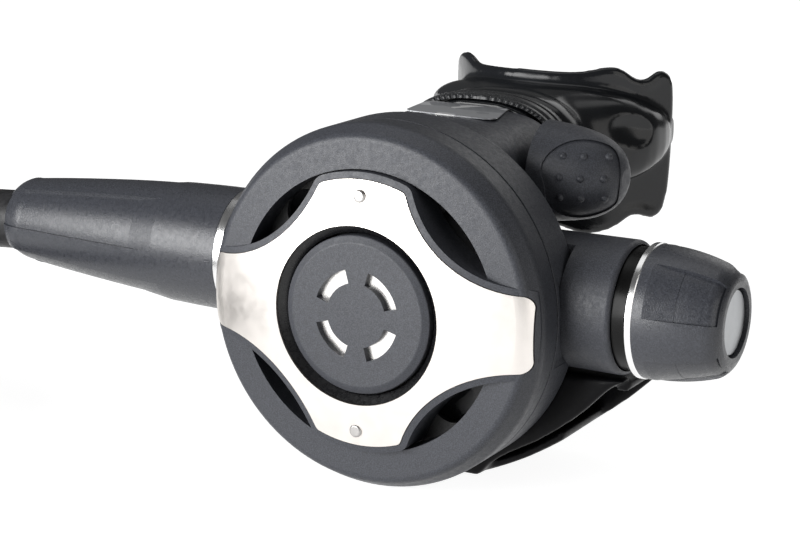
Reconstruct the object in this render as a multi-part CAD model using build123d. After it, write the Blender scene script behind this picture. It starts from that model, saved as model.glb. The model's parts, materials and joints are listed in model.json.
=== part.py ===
from build123d import *

import os
from math import cos, pi, radians, sin, sqrt, tan

os.makedirs("parts", exist_ok=True)

# A diver's second-stage regulator with its low-pressure hose, in millimetres.
# The origin is the middle of the exhaust tee's flat foot.
# +X points to the breathing-effort knob, +Y to the mouthpiece and +Z up.

# ---- overall sizes
COVER_D = 75.0            # front cover, over its rim
FACE_Y = -33.0            # front face of the cover's rim
FLOOR_GAP = 0.1           # the round rim clears the floor by this much
BARREL_SET = 25.3         # valve barrel's axis behind the front face
BARREL_RISE = 2.0         # valve barrel's axis above the cover's axis
BARREL_R = 13.65          # moulded housing round the valve barrel
HOUSING_LEFT = 41.7       # housing's hose end, from the middle
HOUSING_RIGHT = 47.5      # housing's knob end, from the middle
MOUTH_RISE = 25.0         # mouthpiece tube's axis above the cover's axis
LEVER_SET = 38.0          # airflow lever's axis behind the front face
HOSE_D = 13.5             # low-pressure hose, outside
HOSE_BORE = 6.5
RUN_FIT = 0.08            # radial running fit of shafts and pins
SLIDE_FIT = 0.3           # clearance of pieces that pass each other
SEAT_GAP = 0.1            # soft pieces on the seats that carry them

COVER_R = COVER_D / 2
COVER_Z = COVER_R + FLOOR_GAP
BARREL_Y = FACE_Y + BARREL_SET
BARREL_Z = COVER_Z + BARREL_RISE
MOUTH_Z = COVER_Z + MOUTH_RISE
LEVER_Y = FACE_Y + LEVER_SET

# ---- front cover, its steel face plate and the purge button
RIM_INNER_R = 28.85       # windows' outer edge
RIM_FLAT_R = 35.4         # where the flat of the rim turns into its shoulder
COVER_BACK = 10.1         # back edge of the cover behind the front face
COVER_WALL = 2.3
DOME_SPHERE_R = 105.8     # the face plate is a shallow dome
DOME_RISE = 5.6           # its middle stands this far in front of the rim
PLATE_T = 1.0
PLATE_HOLE_R = 18.25
PLATE_LIP = 1.1           # the rolled edge round the plate's hole
PLATE_LIP_DEEP = 2.4
WAIST_R = 27.7            # concave sides between the plate's arms
WAIST_AT = 35.4
ARM_SIDE = 36.2           # left and right arms reach this far
PLATE_BEND_R = 33.4       # the arms bend back over the rim's shoulder from here
PLATE_BEND_BULGE = 0.55
PLATE_TIP_R = 37.65
PLATE_TIP_BACK = 4.3
ARM_ROOT = 12.0           # the side arms' half width where they leave the middle
ARM_TOP_R = 27.2          # top and bottom arms end on this circle
ARM_CORNER = 2.4
TOP_CORNER = 1.6
PLATE_FIT = 0.15
MOULD_EDGE = 1.4          # moulded edge that shows round the plate
MOULD_BACK = 6.4
RIVET_AT = 24.0
RIVET_HEAD_R = 1.35
RIVET_SHANK_R = 0.8
RIVET_LONG = 4.0
BUTTON_R = 16.15
BUTTON_FRONT = 3.6        # in front of the rim's face
BUTTON_T = 1.4
BUTTON_BEVEL = 1.5
BUTTON_BEVEL_DROP = 0.7
BUTTON_SKIRT_T = 1.7
BUTTON_SKIRT_LONG = 4.2
BEZEL_INNER_R = 16.6
BEZEL_DROP = 1.3
BEZEL_LONG = 5.5
WINDOW_IN_R = 6.6         # four curved windows through the button
WINDOW_OUT_R = 9.4
WINDOW_SPAN = 58.0
INLAY_T = 0.8
HUB_T = 1.6
STEM_R = 3.5
GUARD_Y = 6.4             # diaphragm guard behind the front face
GUARD_T = 1.2
GUARD_R = 35.0
GUARD_HOLE_R = 5.0
GUARD_HOLE_AT = 24.0
GUARD_SMALL_HOLE_R = 2.4
GUARD_SMALL_AT = 13.0
SPRING_WIRE_R = 0.4
PURGE_SPRING_R = 6.0
SLIP_T = 1.4
SLIP_INNER_R = 31.0
BEAD_T = 1.6
FILM_T = 0.7
DISC_R = 15.0
DISC_T = 0.9
DISC_FRONT = GUARD_Y + GUARD_T + SLIP_T + BEAD_T / 2 - 0.1

# ---- case
RIM_BACK = 20.3           # the case's own round rim ends here
SEAM = 0.4                # gap between the cover and the case's rim
EDGE_BREAK = 0.15         # rounded edges on both sides of that gap
LATCH_HALF = 9.0          # shallow latch recess on each side of the rim, with two notches
LATCH_DEEP = 0.4
CASE_FRONT_R = 35.2
CASE_SHOULDER_R = 34.0
CASE_SHOULDER_AT = 24.5   # behind the front face
CASE_BACK = 34.0
CASE_BACK_R = 24.0
CASE_WALL = 2.2
BLOCK_HALF_X = 19.0       # upper block that carries the mouthpiece tube
BLOCK_TOP = 34.8          # above the cover's axis
BLOCK_BOTTOM = 12.0
BLOCK_FRONT = RIM_BACK - 3.0
BLOCK_BACK = 48.6
SPIGOT_HALF_X = 15.6
SPIGOT_HALF_Z = 8.8
SPIGOT_BACK = 57.5
SPIGOT_WALL = 1.9
BOSS_R = 10.8             # boss that carries the airflow lever
BOSS_ROOT_R = 12.1
BOSS_END = 21.0
BOSS_ROOT = 11.8
LABEL_T = 0.25
LABEL_OUTLINE = [         # across, and behind the front face
    (-10.2, 34.2),
    (11.0, 34.2),
    (7.4, 48.2),
    (-12.0, 48.2),
]

# ---- demand valve in its barrel
TUBE_R = 8.2
TUBE_BORE_R = 6.4
TUBE_LEFT = 40.4
TUBE_RIGHT = 40.0
PIVOT_X = 20.0            # demand lever's feet
ORIFICE_X = 6.0           # knife edge of the orifice
ORIFICE_LONG = 16.0
ORIFICE_R = 4.0
POPPET_R = 6.1
SEAT_R = 4.2
SEAT_T = 1.6
POPPET_END = 26.0
SPRING_GAP = 0.2
VALVE_SPRING_R = 4.6
VALVE_SPRING_END = 33.0
PAD_T = 2.6
SCREW_R = 4.0
BUSH_LEFT = 37.0
BUSH_RIGHT = 40.0
LEVER_WIRE = 1.6
LEVER_HALF_Z = 9.6
FOOT_R = 1.0
SLOT_HALF_X = 2.4
POPPET_TRAVEL = 1.4

# ---- breathing-effort knob
COLLAR_R = 12.5
COLLAR_LEFT = 44.4
KNOB_RING_X = 50.6
KNOB_RING_T = 1.4
KNOB_RING_R = 13.65
KNOB_R = 13.5
KNOB_END = 68.8
KNOB_MID_R = 13.05
KNOB_FAR_R = 11.6
KNOB_NOSE_R = 8.2
KNOB_RECESS_R = 7.0
KNOB_RECESS_DEEP = 1.5
KNOB_CAP_T = 0.7
PANEL_DEEP = 0.75         # recessed grip panels
PANEL_SPAN = 50.0
KNOB_PANEL_RAMP = 53.2
KNOB_PANEL_FLAT = 60.2
KNOB_PANEL_END = 68.2
KNOB_PANEL_TURN = 32.5    # first panel, up from straight ahead

# ---- airflow lever and its vane
LEVER_LEFT = 21.3
LEVER_OUTLINE = [         # radius at each distance from the middle
    (21.3, 10.5),
    (26.0, 10.0),
    (30.0, 9.35),
    (33.5, 8.3),
    (35.3, 7.35),
    (37.0, 6.0),
    (38.3, 4.2),
    (39.1, 2.1),
]
LEVER_SHAFT_R = 3.4
LEVER_SHAFT_LEFT = 12.4
PAD_DEEP = 0.35           # thumb pad's recess
PAD_OUTLINE = [           # across and above the lever's axis
    (25.0, 0.0),
    (25.7, 5.5),
    (28.4, 7.5),
    (33.0, 7.9),
    (36.9, 6.0),
    (38.7, 2.5),
    (38.8, -1.8),
    (37.7, -5.0),
    (34.0, -7.5),
    (28.8, -8.0),
    (25.8, -5.8),
]
STUD_R = 0.85             # three rows of round studs on the pad
STUD_SINK = 0.3
STUD_PITCH = 4.1
STUD_X = 32.4
STUD_Z = 0.7
VANE_HALF_X = 11.6
VANE_HALF_Y = 5.9
VANE_T = 1.2

# ---- mouthpiece and clamp
COLLAR_HALF_X = 18.0
COLLAR_HALF_Z = 11.1
STRAP_T = 1.3
STRAP_FRONT = 49.4
STRAP_BACK = 56.6
NECK_BACK = 71.0
FLANGE_SWEEP_R = 29.8     # the flange curves round the teeth
FLANGE_MID = 75.0
FLANGE_T = 3.0
FLANGE_BACK = 93.2
FLANGE_EDGE = [           # its edge, across and above the mouthpiece's axis
    (-2.8, 14.6),
    (4.2, 14.6),
    (8.5, 14.7),
    (12.4, 15.2),
    (15.2, 15.9),
    (17.0, 16.1),
    (18.3, 15.6),
    (20.1, 14.0),
    (22.0, 12.9),
    (23.5, 13.2),
    (24.6, 14.6),
    (25.4, 15.2),
    (26.2, 14.5),
    (26.9, 11.3),
    (27.3, 5.7),
    (27.5, -2.6),
    (27.4, -10.3),
    (27.0, -15.2),
    (26.3, -18.2),
    (25.2, -19.8),
    (24.0, -19.3),
    (22.6, -18.6),
    (20.9, -18.9),
    (18.8, -20.9),
    (16.6, -22.2),
    (12.6, -22.8),
    (7.0, -21.0),
    (0.0, -19.6),
    (-7.0, -21.0),
    (-12.6, -22.8),
    (-17.0, -22.0),
    (-19.4, -20.0),
    (-21.8, -18.8),
    (-24.0, -19.2),
    (-25.6, -19.6),
    (-26.8, -16.6),
    (-27.6, -9.0),
    (-27.7, 2.0),
    (-27.4, 9.0),
    (-26.6, 12.6),
    (-24.6, 14.4),
    (-22.6, 15.6),
    (-20.4, 15.9),
    (-18.8, 15.5),
    (-17.3, 14.6),
    (-15.0, 14.2),
    (-9.5, 14.4),
]
FUNNEL = [                # half width and half height of the neck at each distance back
    (62.0, 17.2, 10.4),
    (70.0, 18.4, 9.8),
    (78.0, 23.0, 8.9),
    (86.0, 27.0, 7.8),
]
BEAD_BACK = 64.5          # the collar's own bead behind the strap
BEAD_HALF_X = 19.0
BEAD_HALF_Z = 12.2
AIRWAY_HALF_X = 13.0
AIRWAY_HALF_Z = 6.0
BITE_T = 2.6
BITE_FRONT = 84.0
BITE_BACK = 99.0
BITE_IN_X = 14.5
BITE_OUT_X = 25.5
LUG_HALF_Z = 7.0
LUG_T = 3.0

# ---- exhaust valve and tee
PORT_DROP = 22.0          # exhaust port's centre below the cover's axis
PORT_R = 11.0
PORT_SEAT_R = 13.0
VALVE_R = 12.0
VALVE_T = 0.9
TEE_FRONT = RIM_BACK + 0.3
TEE_REAR = 47.0
TEE_WALL = 2.0
TEE_HALF_FOOT = 16.0
TEE_UNDER = [             # the rounded underside, from the foot out to the tip
    (22.6, -34.6),
    (30.0, -30.2),
    (36.6, -25.4),
    (42.2, -20.4),
    (46.2, -16.2),
    (48.0, -13.8),
]
TEE_TOP = -7.0
TEE_LIP_SET = 3.0         # the front wall stops short of the rear one

# ---- hose, its end fittings and the sleeve over the nut
SLEEVE_RING_T = 2.2
SLEEVE_END = 104.2
SLEEVE_BASE_R = 13.55
SLEEVE_PANEL_RAMP = 56.0
SLEEVE_PANEL_FLAT = 66.4
SLEEVE_PANEL_TURN = 28.0
SLEEVE_BORE_R = 11.4
NUT_AF = 19.0
NUT_LONG = 11.0
FERRULE_R = 9.2
FERRULE_LONG = 24.0
STEM_BORE_R = 2.5
COIL_R = 67.5             # middle of the coiled turns
COIL_GAP = 0.4
END_FERRULE_R = 8.2
END_FERRULE_LONG = 20.0
END_HEX_AF = 14.3
END_HEX_LONG = 9.0
THREAD_R = 4.76           # 3/8-24 thread
THREAD_LONG = 9.0
END_SLEEVE_R = 8.2
END_SLEEVE_TIP_R = 7.5
END_SLEEVE_LONG = 16.0
END_NECK = 2.0            # groove for the thread's O-ring
TAIL_FROM = 30.0          # the hose's end shows outside the coil from here
TAIL_LONG = 65.0          # straight run from the coil to the far ferrule

HOSE_R = HOSE_D / 2
FERRULE_END_X = -(HOUSING_LEFT + SLEEVE_RING_T + NUT_LONG + FERRULE_LONG)
COIL_X = -160.0
COIL_Y = BARREL_Y - COIL_R
END_AXIS_Z = END_HEX_AF / sqrt(3) + FLOOR_GAP
FAR_FERRULE_X = COIL_X + TAIL_LONG

# The hose's free stretch, by hand: out of the ferrule, through the sleeve and down to the coil.
HOSE_POINTS = [
    (FERRULE_END_X, BARREL_Y, BARREL_Z),
    (-112.0, BARREL_Y, BARREL_Z),
    (-138.0, BARREL_Y + 0.6, 34.0),
    (-160.0, BARREL_Y, 27.6),
]

COVER_AXIS = Axis((0, 0, COVER_Z), (0, 1, 0))
BARREL_AXIS = Axis((0, BARREL_Y, BARREL_Z), (1, 0, 0))
LEVER_AXIS = Axis((0, LEVER_Y, MOUTH_Z), (1, 0, 0))


# ---- shared shapes
def rounded_face(points, rounds=None):
    """A flat face with straight sides; rounds maps a point's index to its corner radius."""
    face = make_face(Polyline(*points, close=True)).faces()[0]
    for index, radius in (rounds or {}).items():
        corner = face.vertices().sort_by_distance(Vector(*points[index]))[0]
        face = face.fillet_2d(radius, [corner])
    return face


def turned_y(points, rounds=None, z=COVER_Z):
    """Turned about a line along Y; points are (radius, distance behind the cover's front face)."""
    face = rounded_face([(r, FACE_Y + y, z) for r, y in points], rounds)
    return revolve(face, Axis((0, 0, z), (0, 1, 0)), 360)


def turned_x(points, rounds=None, y=BARREL_Y, z=BARREL_Z):
    """Turned about a line along X; points are (x, radius)."""
    face = rounded_face([(x, y, z + r) for x, r in points], rounds)
    return revolve(face, Axis((0, y, z), (1, 0, 0)), 360)


def rod_y(radius, front, back, x=0.0, z=COVER_Z):
    """A round rod along Y between two distances behind the cover's front face."""
    return extrude(Plane((x, FACE_Y + front, z), z_dir=(0, 1, 0)) * Circle(radius), back - front)


def rod_x(radius, left, right, y=BARREL_Y, z=BARREL_Z):
    """A round rod along X."""
    return extrude(Plane((left, y, z), z_dir=(1, 0, 0)) * Circle(radius), right - left)


def block(x0, x1, y0, y1, z0, z1):
    """A box between corners; Y runs behind the cover's front face and Z above its axis."""
    middle = ((x0 + x1) / 2, FACE_Y + (y0 + y1) / 2, COVER_Z + (z0 + z1) / 2)
    return Pos(*middle) * Box(x1 - x0, y1 - y0, z1 - z0)


def ring_spring(radius, wire_r, turns, length):
    """A coil spring from z = 0 up, as close rings joined by short risers."""
    pitch = (length - 2 * wire_r) / turns
    path = Helix(pitch, pitch * turns, radius)
    section = Plane(path @ 0, z_dir=path % 0) * Circle(wire_r)
    return Pos(0, 0, wire_r) * sweep(section, path, is_frenet=True)


def oval(half_x, half_z, square=2.4, steps=12):
    """Points of a softly squared oval round (0, 0)."""
    points = []
    for step in range(4 * steps):
        turn = 2 * pi * step / (4 * steps)
        x = abs(cos(turn)) ** (2 / square) * half_x
        z = abs(sin(turn)) ** (2 / square) * half_z
        points.append((x if cos(turn) >= 0 else -x, z if sin(turn) >= 0 else -z))
    return points


def oval_bar(half_x, half_z, front, back, z=MOUTH_Z, square=2.4):
    """A bar along Y with a softly squared oval section."""
    points = [(px, FACE_Y + front, z + pz) for px, pz in oval(half_x, half_z, square)]
    face = make_face(Spline(*points, periodic=True))
    return extrude(face, back - front, dir=(0, 1, 0))


def sector_x(turn, span, left, right, reach=30.0, y=BARREL_Y, z=BARREL_Z):
    """A wedge about a line along X; turn is measured up from straight ahead (-Y)."""
    low, high = radians(turn - span / 2), radians(turn + span / 2)
    points = [(left, y, z)]
    for angle in (low, high):
        points.append((left, y - reach * cos(angle), z + reach * sin(angle)))
    return extrude(make_face(Polyline(*points, close=True)), right - left, dir=(1, 0, 0))


def grip_panels(shell, first, span, left, right):
    """Four wedges of a shell, for the recessed grip panels of a turned piece."""
    return [shell & sector_x(first + 90 * count, span, left, right) for count in range(4)]


def write(name, shape):
    """Export one sub-part under its node's name."""
    export_step(shape, os.path.join("parts", name + ".step"))


# ---- cover, plate and purge button
def dome(set_back, back):
    """The space behind the face plate, set back from its outside, as far as back."""
    def at(radius):
        fall = DOME_SPHERE_R - sqrt(DOME_SPHERE_R**2 - radius**2)
        return (radius, FACE_Y - DOME_RISE + set_back + fall, COVER_Z)

    tip_r = PLATE_TIP_R - set_back * 0.6
    tip_y = FACE_Y + PLATE_TIP_BACK + set_back * 0.5
    knee_r = (PLATE_BEND_R + tip_r) / 2 + PLATE_BEND_BULGE
    knee_y = (at(PLATE_BEND_R)[1] + tip_y) / 2 - PLATE_BEND_BULGE
    crown = ThreePointArc(at(0), at(PLATE_BEND_R / 2), at(PLATE_BEND_R))
    wrap = ThreePointArc(at(PLATE_BEND_R), (knee_r, knee_y, COVER_Z), (tip_r, tip_y, COVER_Z))
    back_y = FACE_Y + back
    rest = Polyline((tip_r, tip_y, COVER_Z), (tip_r, back_y, COVER_Z), (0, back_y, COVER_Z), at(0))
    return revolve(make_face([crown, wrap, rest]), COVER_AXIS, 360)


def cross_outline(grow, corner, top_corner, side, top_r):
    """The plate's four-armed outline, grown by grow all round, as a face in X and Z."""
    waist = WAIST_R - grow
    field = Rectangle(2 * (side + grow), 2 * (side + grow)) & (
        Circle(top_r + grow) + Rectangle(2 * (side + grow), 2 * ARM_ROOT)
    )
    for sx in (-1, 1):
        for sy in (-1, 1):
            field -= Pos(sx * WAIST_AT, sy * WAIST_AT) * Circle(waist)
    face = field.faces()[0]
    arm_tips = [v for v in face.vertices() if abs(v.X) > side - 1]
    face = face.fillet_2d(corner, arm_tips)
    top_tips = [v for v in face.vertices() if abs(v.Y) > top_r * 0.8 and abs(v.X) < side * 0.6]
    return face.fillet_2d(top_corner, top_tips)


def cross_prism(grow, front, back):
    """The four-armed outline as a prism along Y."""
    face = cross_outline(grow, ARM_CORNER + grow, TOP_CORNER + grow, ARM_SIDE, ARM_TOP_R)
    flat = Plane((0, FACE_Y + back, COVER_Z), x_dir=(1, 0, 0), z_dir=(0, -1, 0)) * face
    return extrude(flat, back - front)


def make_cover():
    rim = turned_y(
        [
            (RIM_INNER_R, 0.0),
            (RIM_FLAT_R, 0.5),
            (COVER_R, 4.6),
            (COVER_R, COVER_BACK),
            (COVER_R - COVER_WALL, COVER_BACK),
            (COVER_R - COVER_WALL, GUARD_Y - SEAT_GAP),
            (RIM_INNER_R, GUARD_Y - SEAT_GAP),
        ],
        {1: 2.0, 2: 3.0, 3: EDGE_BREAK},
    )
    body = cross_prism(MOULD_EDGE, -8, MOULD_BACK - SEAT_GAP) & dome(PLATE_FIT, MOULD_BACK - SEAT_GAP)
    body = body & rod_y(COVER_R - 0.4, -9, 9)
    body -= rod_y(BEZEL_INNER_R, -9, 9)
    cover = rim + body
    plate_space = cross_prism(PLATE_FIT, -8, 6) - dome(PLATE_T + 0.02, 6)
    lip_space = rod_y(PLATE_HOLE_R + PLATE_LIP + PLATE_FIT, -8, PLATE_LIP_DEEP - 3.4)
    bezel_space = rod_y(PLATE_HOLE_R, -8, BEZEL_LONG - 3.4)
    cover = cover - plate_space - lip_space - bezel_space
    for up in (-1, 1):
        cover -= rod_y(RIVET_SHANK_R, -8, RIVET_LONG - 4, z=COVER_Z + up * RIVET_AT)
    return cover


def make_plate():
    plate = cross_prism(0, -8, 6) & (dome(0, 6) - dome(PLATE_T, 6))
    lip = turned_y(
        [
            (PLATE_HOLE_R, -4.4),
            (PLATE_HOLE_R + PLATE_LIP, -4.4),
            (PLATE_HOLE_R + PLATE_LIP, PLATE_LIP_DEEP - 3.5),
            (PLATE_HOLE_R, PLATE_LIP_DEEP - 3.5),
        ]
    ) & dome(0, 6)
    plate = plate - rod_y(PLATE_HOLE_R, -9, 9) + lip
    for up in (-1, 1):
        plate -= rod_y(RIVET_SHANK_R, -9, 9, z=COVER_Z + up * RIVET_AT)
    inner_rim = plate.edges().filter_by(GeomType.CIRCLE).filter_by(
        lambda e: abs(e.radius - PLATE_HOLE_R) < 0.01
    )
    front = inner_rim.sort_by(Axis.Y)[0]
    return fillet(front, PLATE_LIP * 0.8)


def make_rivet(up):
    z = COVER_Z + up * RIVET_AT
    seat = -DOME_RISE + DOME_SPHERE_R - sqrt(DOME_SPHERE_R**2 - RIVET_AT**2)
    head = rod_y(RIVET_HEAD_R, seat - 0.5, seat + 0.4, z=z)
    head = fillet(head.edges().sort_by(Axis.Y)[0], 0.45)
    head -= dome(0, 6)
    shank = rod_y(RIVET_SHANK_R, seat - 0.3, RIVET_LONG - 4, z=z)
    return head + shank


def make_bezel():
    front = -DOME_RISE + DOME_SPHERE_R - sqrt(DOME_SPHERE_R**2 - PLATE_HOLE_R**2) + 0.7
    outer = PLATE_HOLE_R - RUN_FIT
    return turned_y(
        [
            (outer, front),
            (outer, BEZEL_LONG - 3.4),
            (BEZEL_INNER_R, BEZEL_LONG - 3.4),
            (BEZEL_INNER_R, front + BEZEL_DROP),
        ]
    )


def arc_window(inner, outer, turn, span, front, back):
    """A curved slot about the cover's axis, cut along Y."""
    ring = rod_y(outer, front, back) - rod_y(inner, front, back)
    low, high = radians(turn - span / 2), radians(turn + span / 2)
    points = [(0, FACE_Y + front, COVER_Z)]
    for angle in (low, high):
        points.append((40 * sin(angle), FACE_Y + front, COVER_Z + 40 * cos(angle)))
    return ring & extrude(make_face(Polyline(*points, close=True)), back - front, dir=(0, 1, 0))


def make_button():
    front = -BUTTON_FRONT
    inside = BUTTON_R - BUTTON_SKIRT_T
    button = turned_y(
        [
            (0, front),
            (BUTTON_R - BUTTON_BEVEL, front),
            (BUTTON_R, front + BUTTON_BEVEL_DROP),
            (BUTTON_R, front + BUTTON_SKIRT_LONG),
            (inside, front + BUTTON_SKIRT_LONG),
            (inside, front + BUTTON_T),
            (0, front + BUTTON_T),
        ],
        {1: 0.8, 2: 0.35},
    )
    for quarter in range(4):
        button -= arc_window(
            WINDOW_IN_R, WINDOW_OUT_R, 45 + 90 * quarter, WINDOW_SPAN, front - 1, front + BUTTON_T + 0.1
        )
    return button


def make_inlay():
    front = -BUTTON_FRONT + BUTTON_T
    return rod_y(BUTTON_R - BUTTON_SKIRT_T - RUN_FIT, front, front + INLAY_T)


def make_hub():
    front = -BUTTON_FRONT + BUTTON_T + INLAY_T
    plate = rod_y(BUTTON_R - BUTTON_SKIRT_T - RUN_FIT, front, front + HUB_T)
    return plate + rod_y(STEM_R, front, DISC_FRONT - SEAT_GAP)


def make_purge_spring():
    front = -BUTTON_FRONT + BUTTON_T + INLAY_T + HUB_T
    length = GUARD_Y - front - 2 * SEAT_GAP
    spring = ring_spring(PURGE_SPRING_R, SPRING_WIRE_R, 3, length)
    return Plane((0, FACE_Y + front + SEAT_GAP, COVER_Z), z_dir=(0, 1, 0)).location * spring


def make_guard():
    guard = rod_y(GUARD_R, GUARD_Y, GUARD_Y + GUARD_T) - rod_y(STEM_R + SLIDE_FIT, 0, 20)
    for step in range(8):
        turn = radians(45 * step + 45)
        x, z = GUARD_HOLE_AT * sin(turn), COVER_Z + GUARD_HOLE_AT * cos(turn)
        guard -= rod_y(GUARD_HOLE_R, 0, 20, x=x, z=z)
        small = radians(45 * step + 22.5)
        x, z = GUARD_SMALL_AT * sin(small), COVER_Z + GUARD_SMALL_AT * cos(small)
        guard -= rod_y(GUARD_SMALL_HOLE_R, 0, 20, x=x, z=z)
    return guard


def make_slip_ring():
    front = GUARD_Y + GUARD_T
    return rod_y(GUARD_R, front, front + SLIP_T) - rod_y(SLIP_INNER_R, front, front + SLIP_T)


def make_diaphragm():
    bead = GUARD_Y + GUARD_T + SLIP_T
    film = bead + BEAD_T / 2
    inner = DISC_R + SLIDE_FIT
    return turned_y(
        [
            (inner, film),
            (22.0, film),
            (24.5, film + 1.4),
            (27.5, film + 1.4),
            (30.0, film - FILM_T / 2),
            (31.4, bead),
            (GUARD_R, bead),
            (GUARD_R, bead + BEAD_T),
            (31.4, bead + BEAD_T),
            (30.4, film + FILM_T),
            (28.0, film + 1.4 + FILM_T),
            (24.0, film + 1.4 + FILM_T),
            (21.5, film + FILM_T),
            (inner, film + FILM_T),
        ]
    )


def make_diaphragm_disc():
    return rod_y(DISC_R, DISC_FRONT, DISC_FRONT + DISC_T)


# ---- case
def make_case():
    seat = GUARD_Y + GUARD_T + SLIP_T + BEAD_T
    bowl = turned_y(
        [
            (0, CASE_BACK),
            (CASE_BACK_R, CASE_BACK),
            (CASE_SHOULDER_R, CASE_SHOULDER_AT),
            (CASE_SHOULDER_R + 0.6, RIM_BACK),
            (COVER_R, RIM_BACK),
            (COVER_R, COVER_BACK + SEAM),
            (CASE_FRONT_R, COVER_BACK + SEAM),
            (CASE_FRONT_R, seat),
            (0, seat),
        ],
        {1: 5.0, 2: 1.5, 4: 0.7, 5: EDGE_BREAK},
    )
    for side in (-1, 1):
        x0, x1 = side * COVER_R - 1.2, side * COVER_R + 1.2
        latch = block(x0, x1, COVER_BACK + 1.4, RIM_BACK - 0.5, -LATCH_HALF, LATCH_HALF + 2)
        bowl -= latch - rod_y(COVER_R - LATCH_DEEP, 0, RIM_BACK + 1)
        for back, half in ((16.0, 1.7), (RIM_BACK - 1.4, 3.0)):
            bowl -= block(x0, x1, back - 0.3, back + 0.3, -half, half)
    housing = turned_x(
        [
            (-HOUSING_LEFT, 0),
            (-HOUSING_LEFT, BARREL_R - 0.35),
            (HOUSING_RIGHT, BARREL_R),
            (HOUSING_RIGHT, 0),
        ],
        {1: 0.6, 2: 1.0},
    )
    half_z = (BLOCK_TOP - BLOCK_BOTTOM) / 2
    top = oval_bar(BLOCK_HALF_X, half_z, BLOCK_FRONT, BLOCK_BACK, z=COVER_Z + BLOCK_TOP - half_z, square=3.2)
    top = fillet(top.faces().sort_by(Axis.Y)[-1].edges(), 1.2)
    spigot = oval_bar(SPIGOT_HALF_X, SPIGOT_HALF_Z, 30, SPIGOT_BACK)
    boss = turned_x(
        [
            (BOSS_ROOT - 4, 0),
            (BOSS_ROOT - 4, BOSS_R - 2.0),
            (BOSS_ROOT, BOSS_ROOT_R),
            (BOSS_ROOT + 3.5, BOSS_ROOT_R),
            (BOSS_END, BOSS_R),
            (BOSS_END, 0),
        ],
        {2: 1.2, 3: 1.0, 4: 0.4},
        y=LEVER_Y,
        z=MOUTH_Z,
    )
    # The barrel's housing starts behind the rim, so that the rim stays round in front of it.
    housing -= block(-COVER_R + 1, COVER_R - 1, 0, RIM_BACK - 0.4, -20, 20)
    solid = bowl + housing + top + spigot + boss
    port_z = COVER_Z - PORT_DROP
    solid += rod_y(PORT_SEAT_R, 26, CASE_BACK + 1.0, z=port_z)

    cavity = turned_y(
        [
            (0, CASE_BACK - CASE_WALL),
            (CASE_BACK_R - 2, CASE_BACK - CASE_WALL),
            (SLIP_INNER_R, 21.0),
            (SLIP_INNER_R, seat - 1),
            (0, seat - 1),
        ],
        {1: 4.0},
    )
    # The valve barrel lies in a tube that crosses the cavity, open towards the lever.
    cradle = rod_x(TUBE_R + 2.0, -34, PIVOT_X - 9) - block(-60, 60, 0, 22, -20, 20)
    right_web = rod_x(TUBE_R + 2.0, PIVOT_X + 7, 40)
    cavity = cavity - cradle - right_web
    airway = oval_bar(SPIGOT_HALF_X - SPIGOT_WALL, SPIGOT_HALF_Z - SPIGOT_WALL, 24, SPIGOT_BACK + 1)
    solid = solid - cavity - airway
    solid -= rod_y(PORT_R, 24, CASE_BACK + 4, z=port_z)
    solid -= rod_x(TUBE_R, -TUBE_LEFT, TUBE_RIGHT)
    solid -= rod_x(TUBE_BORE_R + 0.6, -60, -TUBE_LEFT)
    solid -= rod_x(COLLAR_R + SLIDE_FIT, TUBE_RIGHT, 60)
    solid -= rod_x(LEVER_SHAFT_R + RUN_FIT, LEVER_SHAFT_LEFT, 30, y=LEVER_Y, z=MOUTH_Z)
    lever_space = rod_x(LEVER_OUTLINE[0][1] + 2 * SLIDE_FIT, BOSS_END, 45, y=LEVER_Y, z=MOUTH_Z)
    return solid - lever_space


def make_label():
    """A thin wedge-shaped scale plate on the flat top of the case."""
    top = COVER_Z + BLOCK_TOP
    points = [(x, FACE_Y + y, top) for x, y in LABEL_OUTLINE]
    return extrude(rounded_face(points, {0: 2.0, 1: 2.5, 2: 1.0, 3: 1.5}), LABEL_T, dir=(0, 0, 1))


# ---- demand valve
def make_valve_barrel():
    tube = rod_x(TUBE_R, -TUBE_LEFT, TUBE_RIGHT) - rod_x(TUBE_BORE_R, -TUBE_LEFT, TUBE_RIGHT)
    for up in (-1, 1):
        slot = Pos(PIVOT_X, BARREL_Y, BARREL_Z + up * TUBE_R) * Box(2 * SLOT_HALF_X, 6.0, 6.0)
        tube -= slot
    outlet = Pos(ORIFICE_X + 3, BARREL_Y + TUBE_R, BARREL_Z) * Box(7.0, 6.0, 8.0)
    return tube - outlet


def make_orifice():
    left = ORIFICE_X - ORIFICE_LONG
    body = turned_x(
        [
            (left, STEM_BORE_R),
            (left, TUBE_BORE_R),
            (left + 4, TUBE_BORE_R),
            (left + 4, ORIFICE_R + 1.2),
            (left + 6, ORIFICE_R + 1.2),
            (left + 6, TUBE_BORE_R),
            (left + 8, TUBE_BORE_R),
            (left + 9, ORIFICE_R),
            (ORIFICE_X - 1.5, ORIFICE_R),
            (ORIFICE_X, STEM_BORE_R + 0.3),
            (ORIFICE_X, STEM_BORE_R),
        ]
    )
    return body


def o_ring_x(x, inner, outer, y=BARREL_Y, z=BARREL_Z):
    """An O-ring about a line along X, between two radii."""
    middle, section = (inner + outer) / 2, (outer - inner) / 2
    circle = Plane((x, y, z + middle), z_dir=(0, 1, 0)) * Circle(section)
    return revolve(circle, Axis((0, y, z), (1, 0, 0)), 360)


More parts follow.
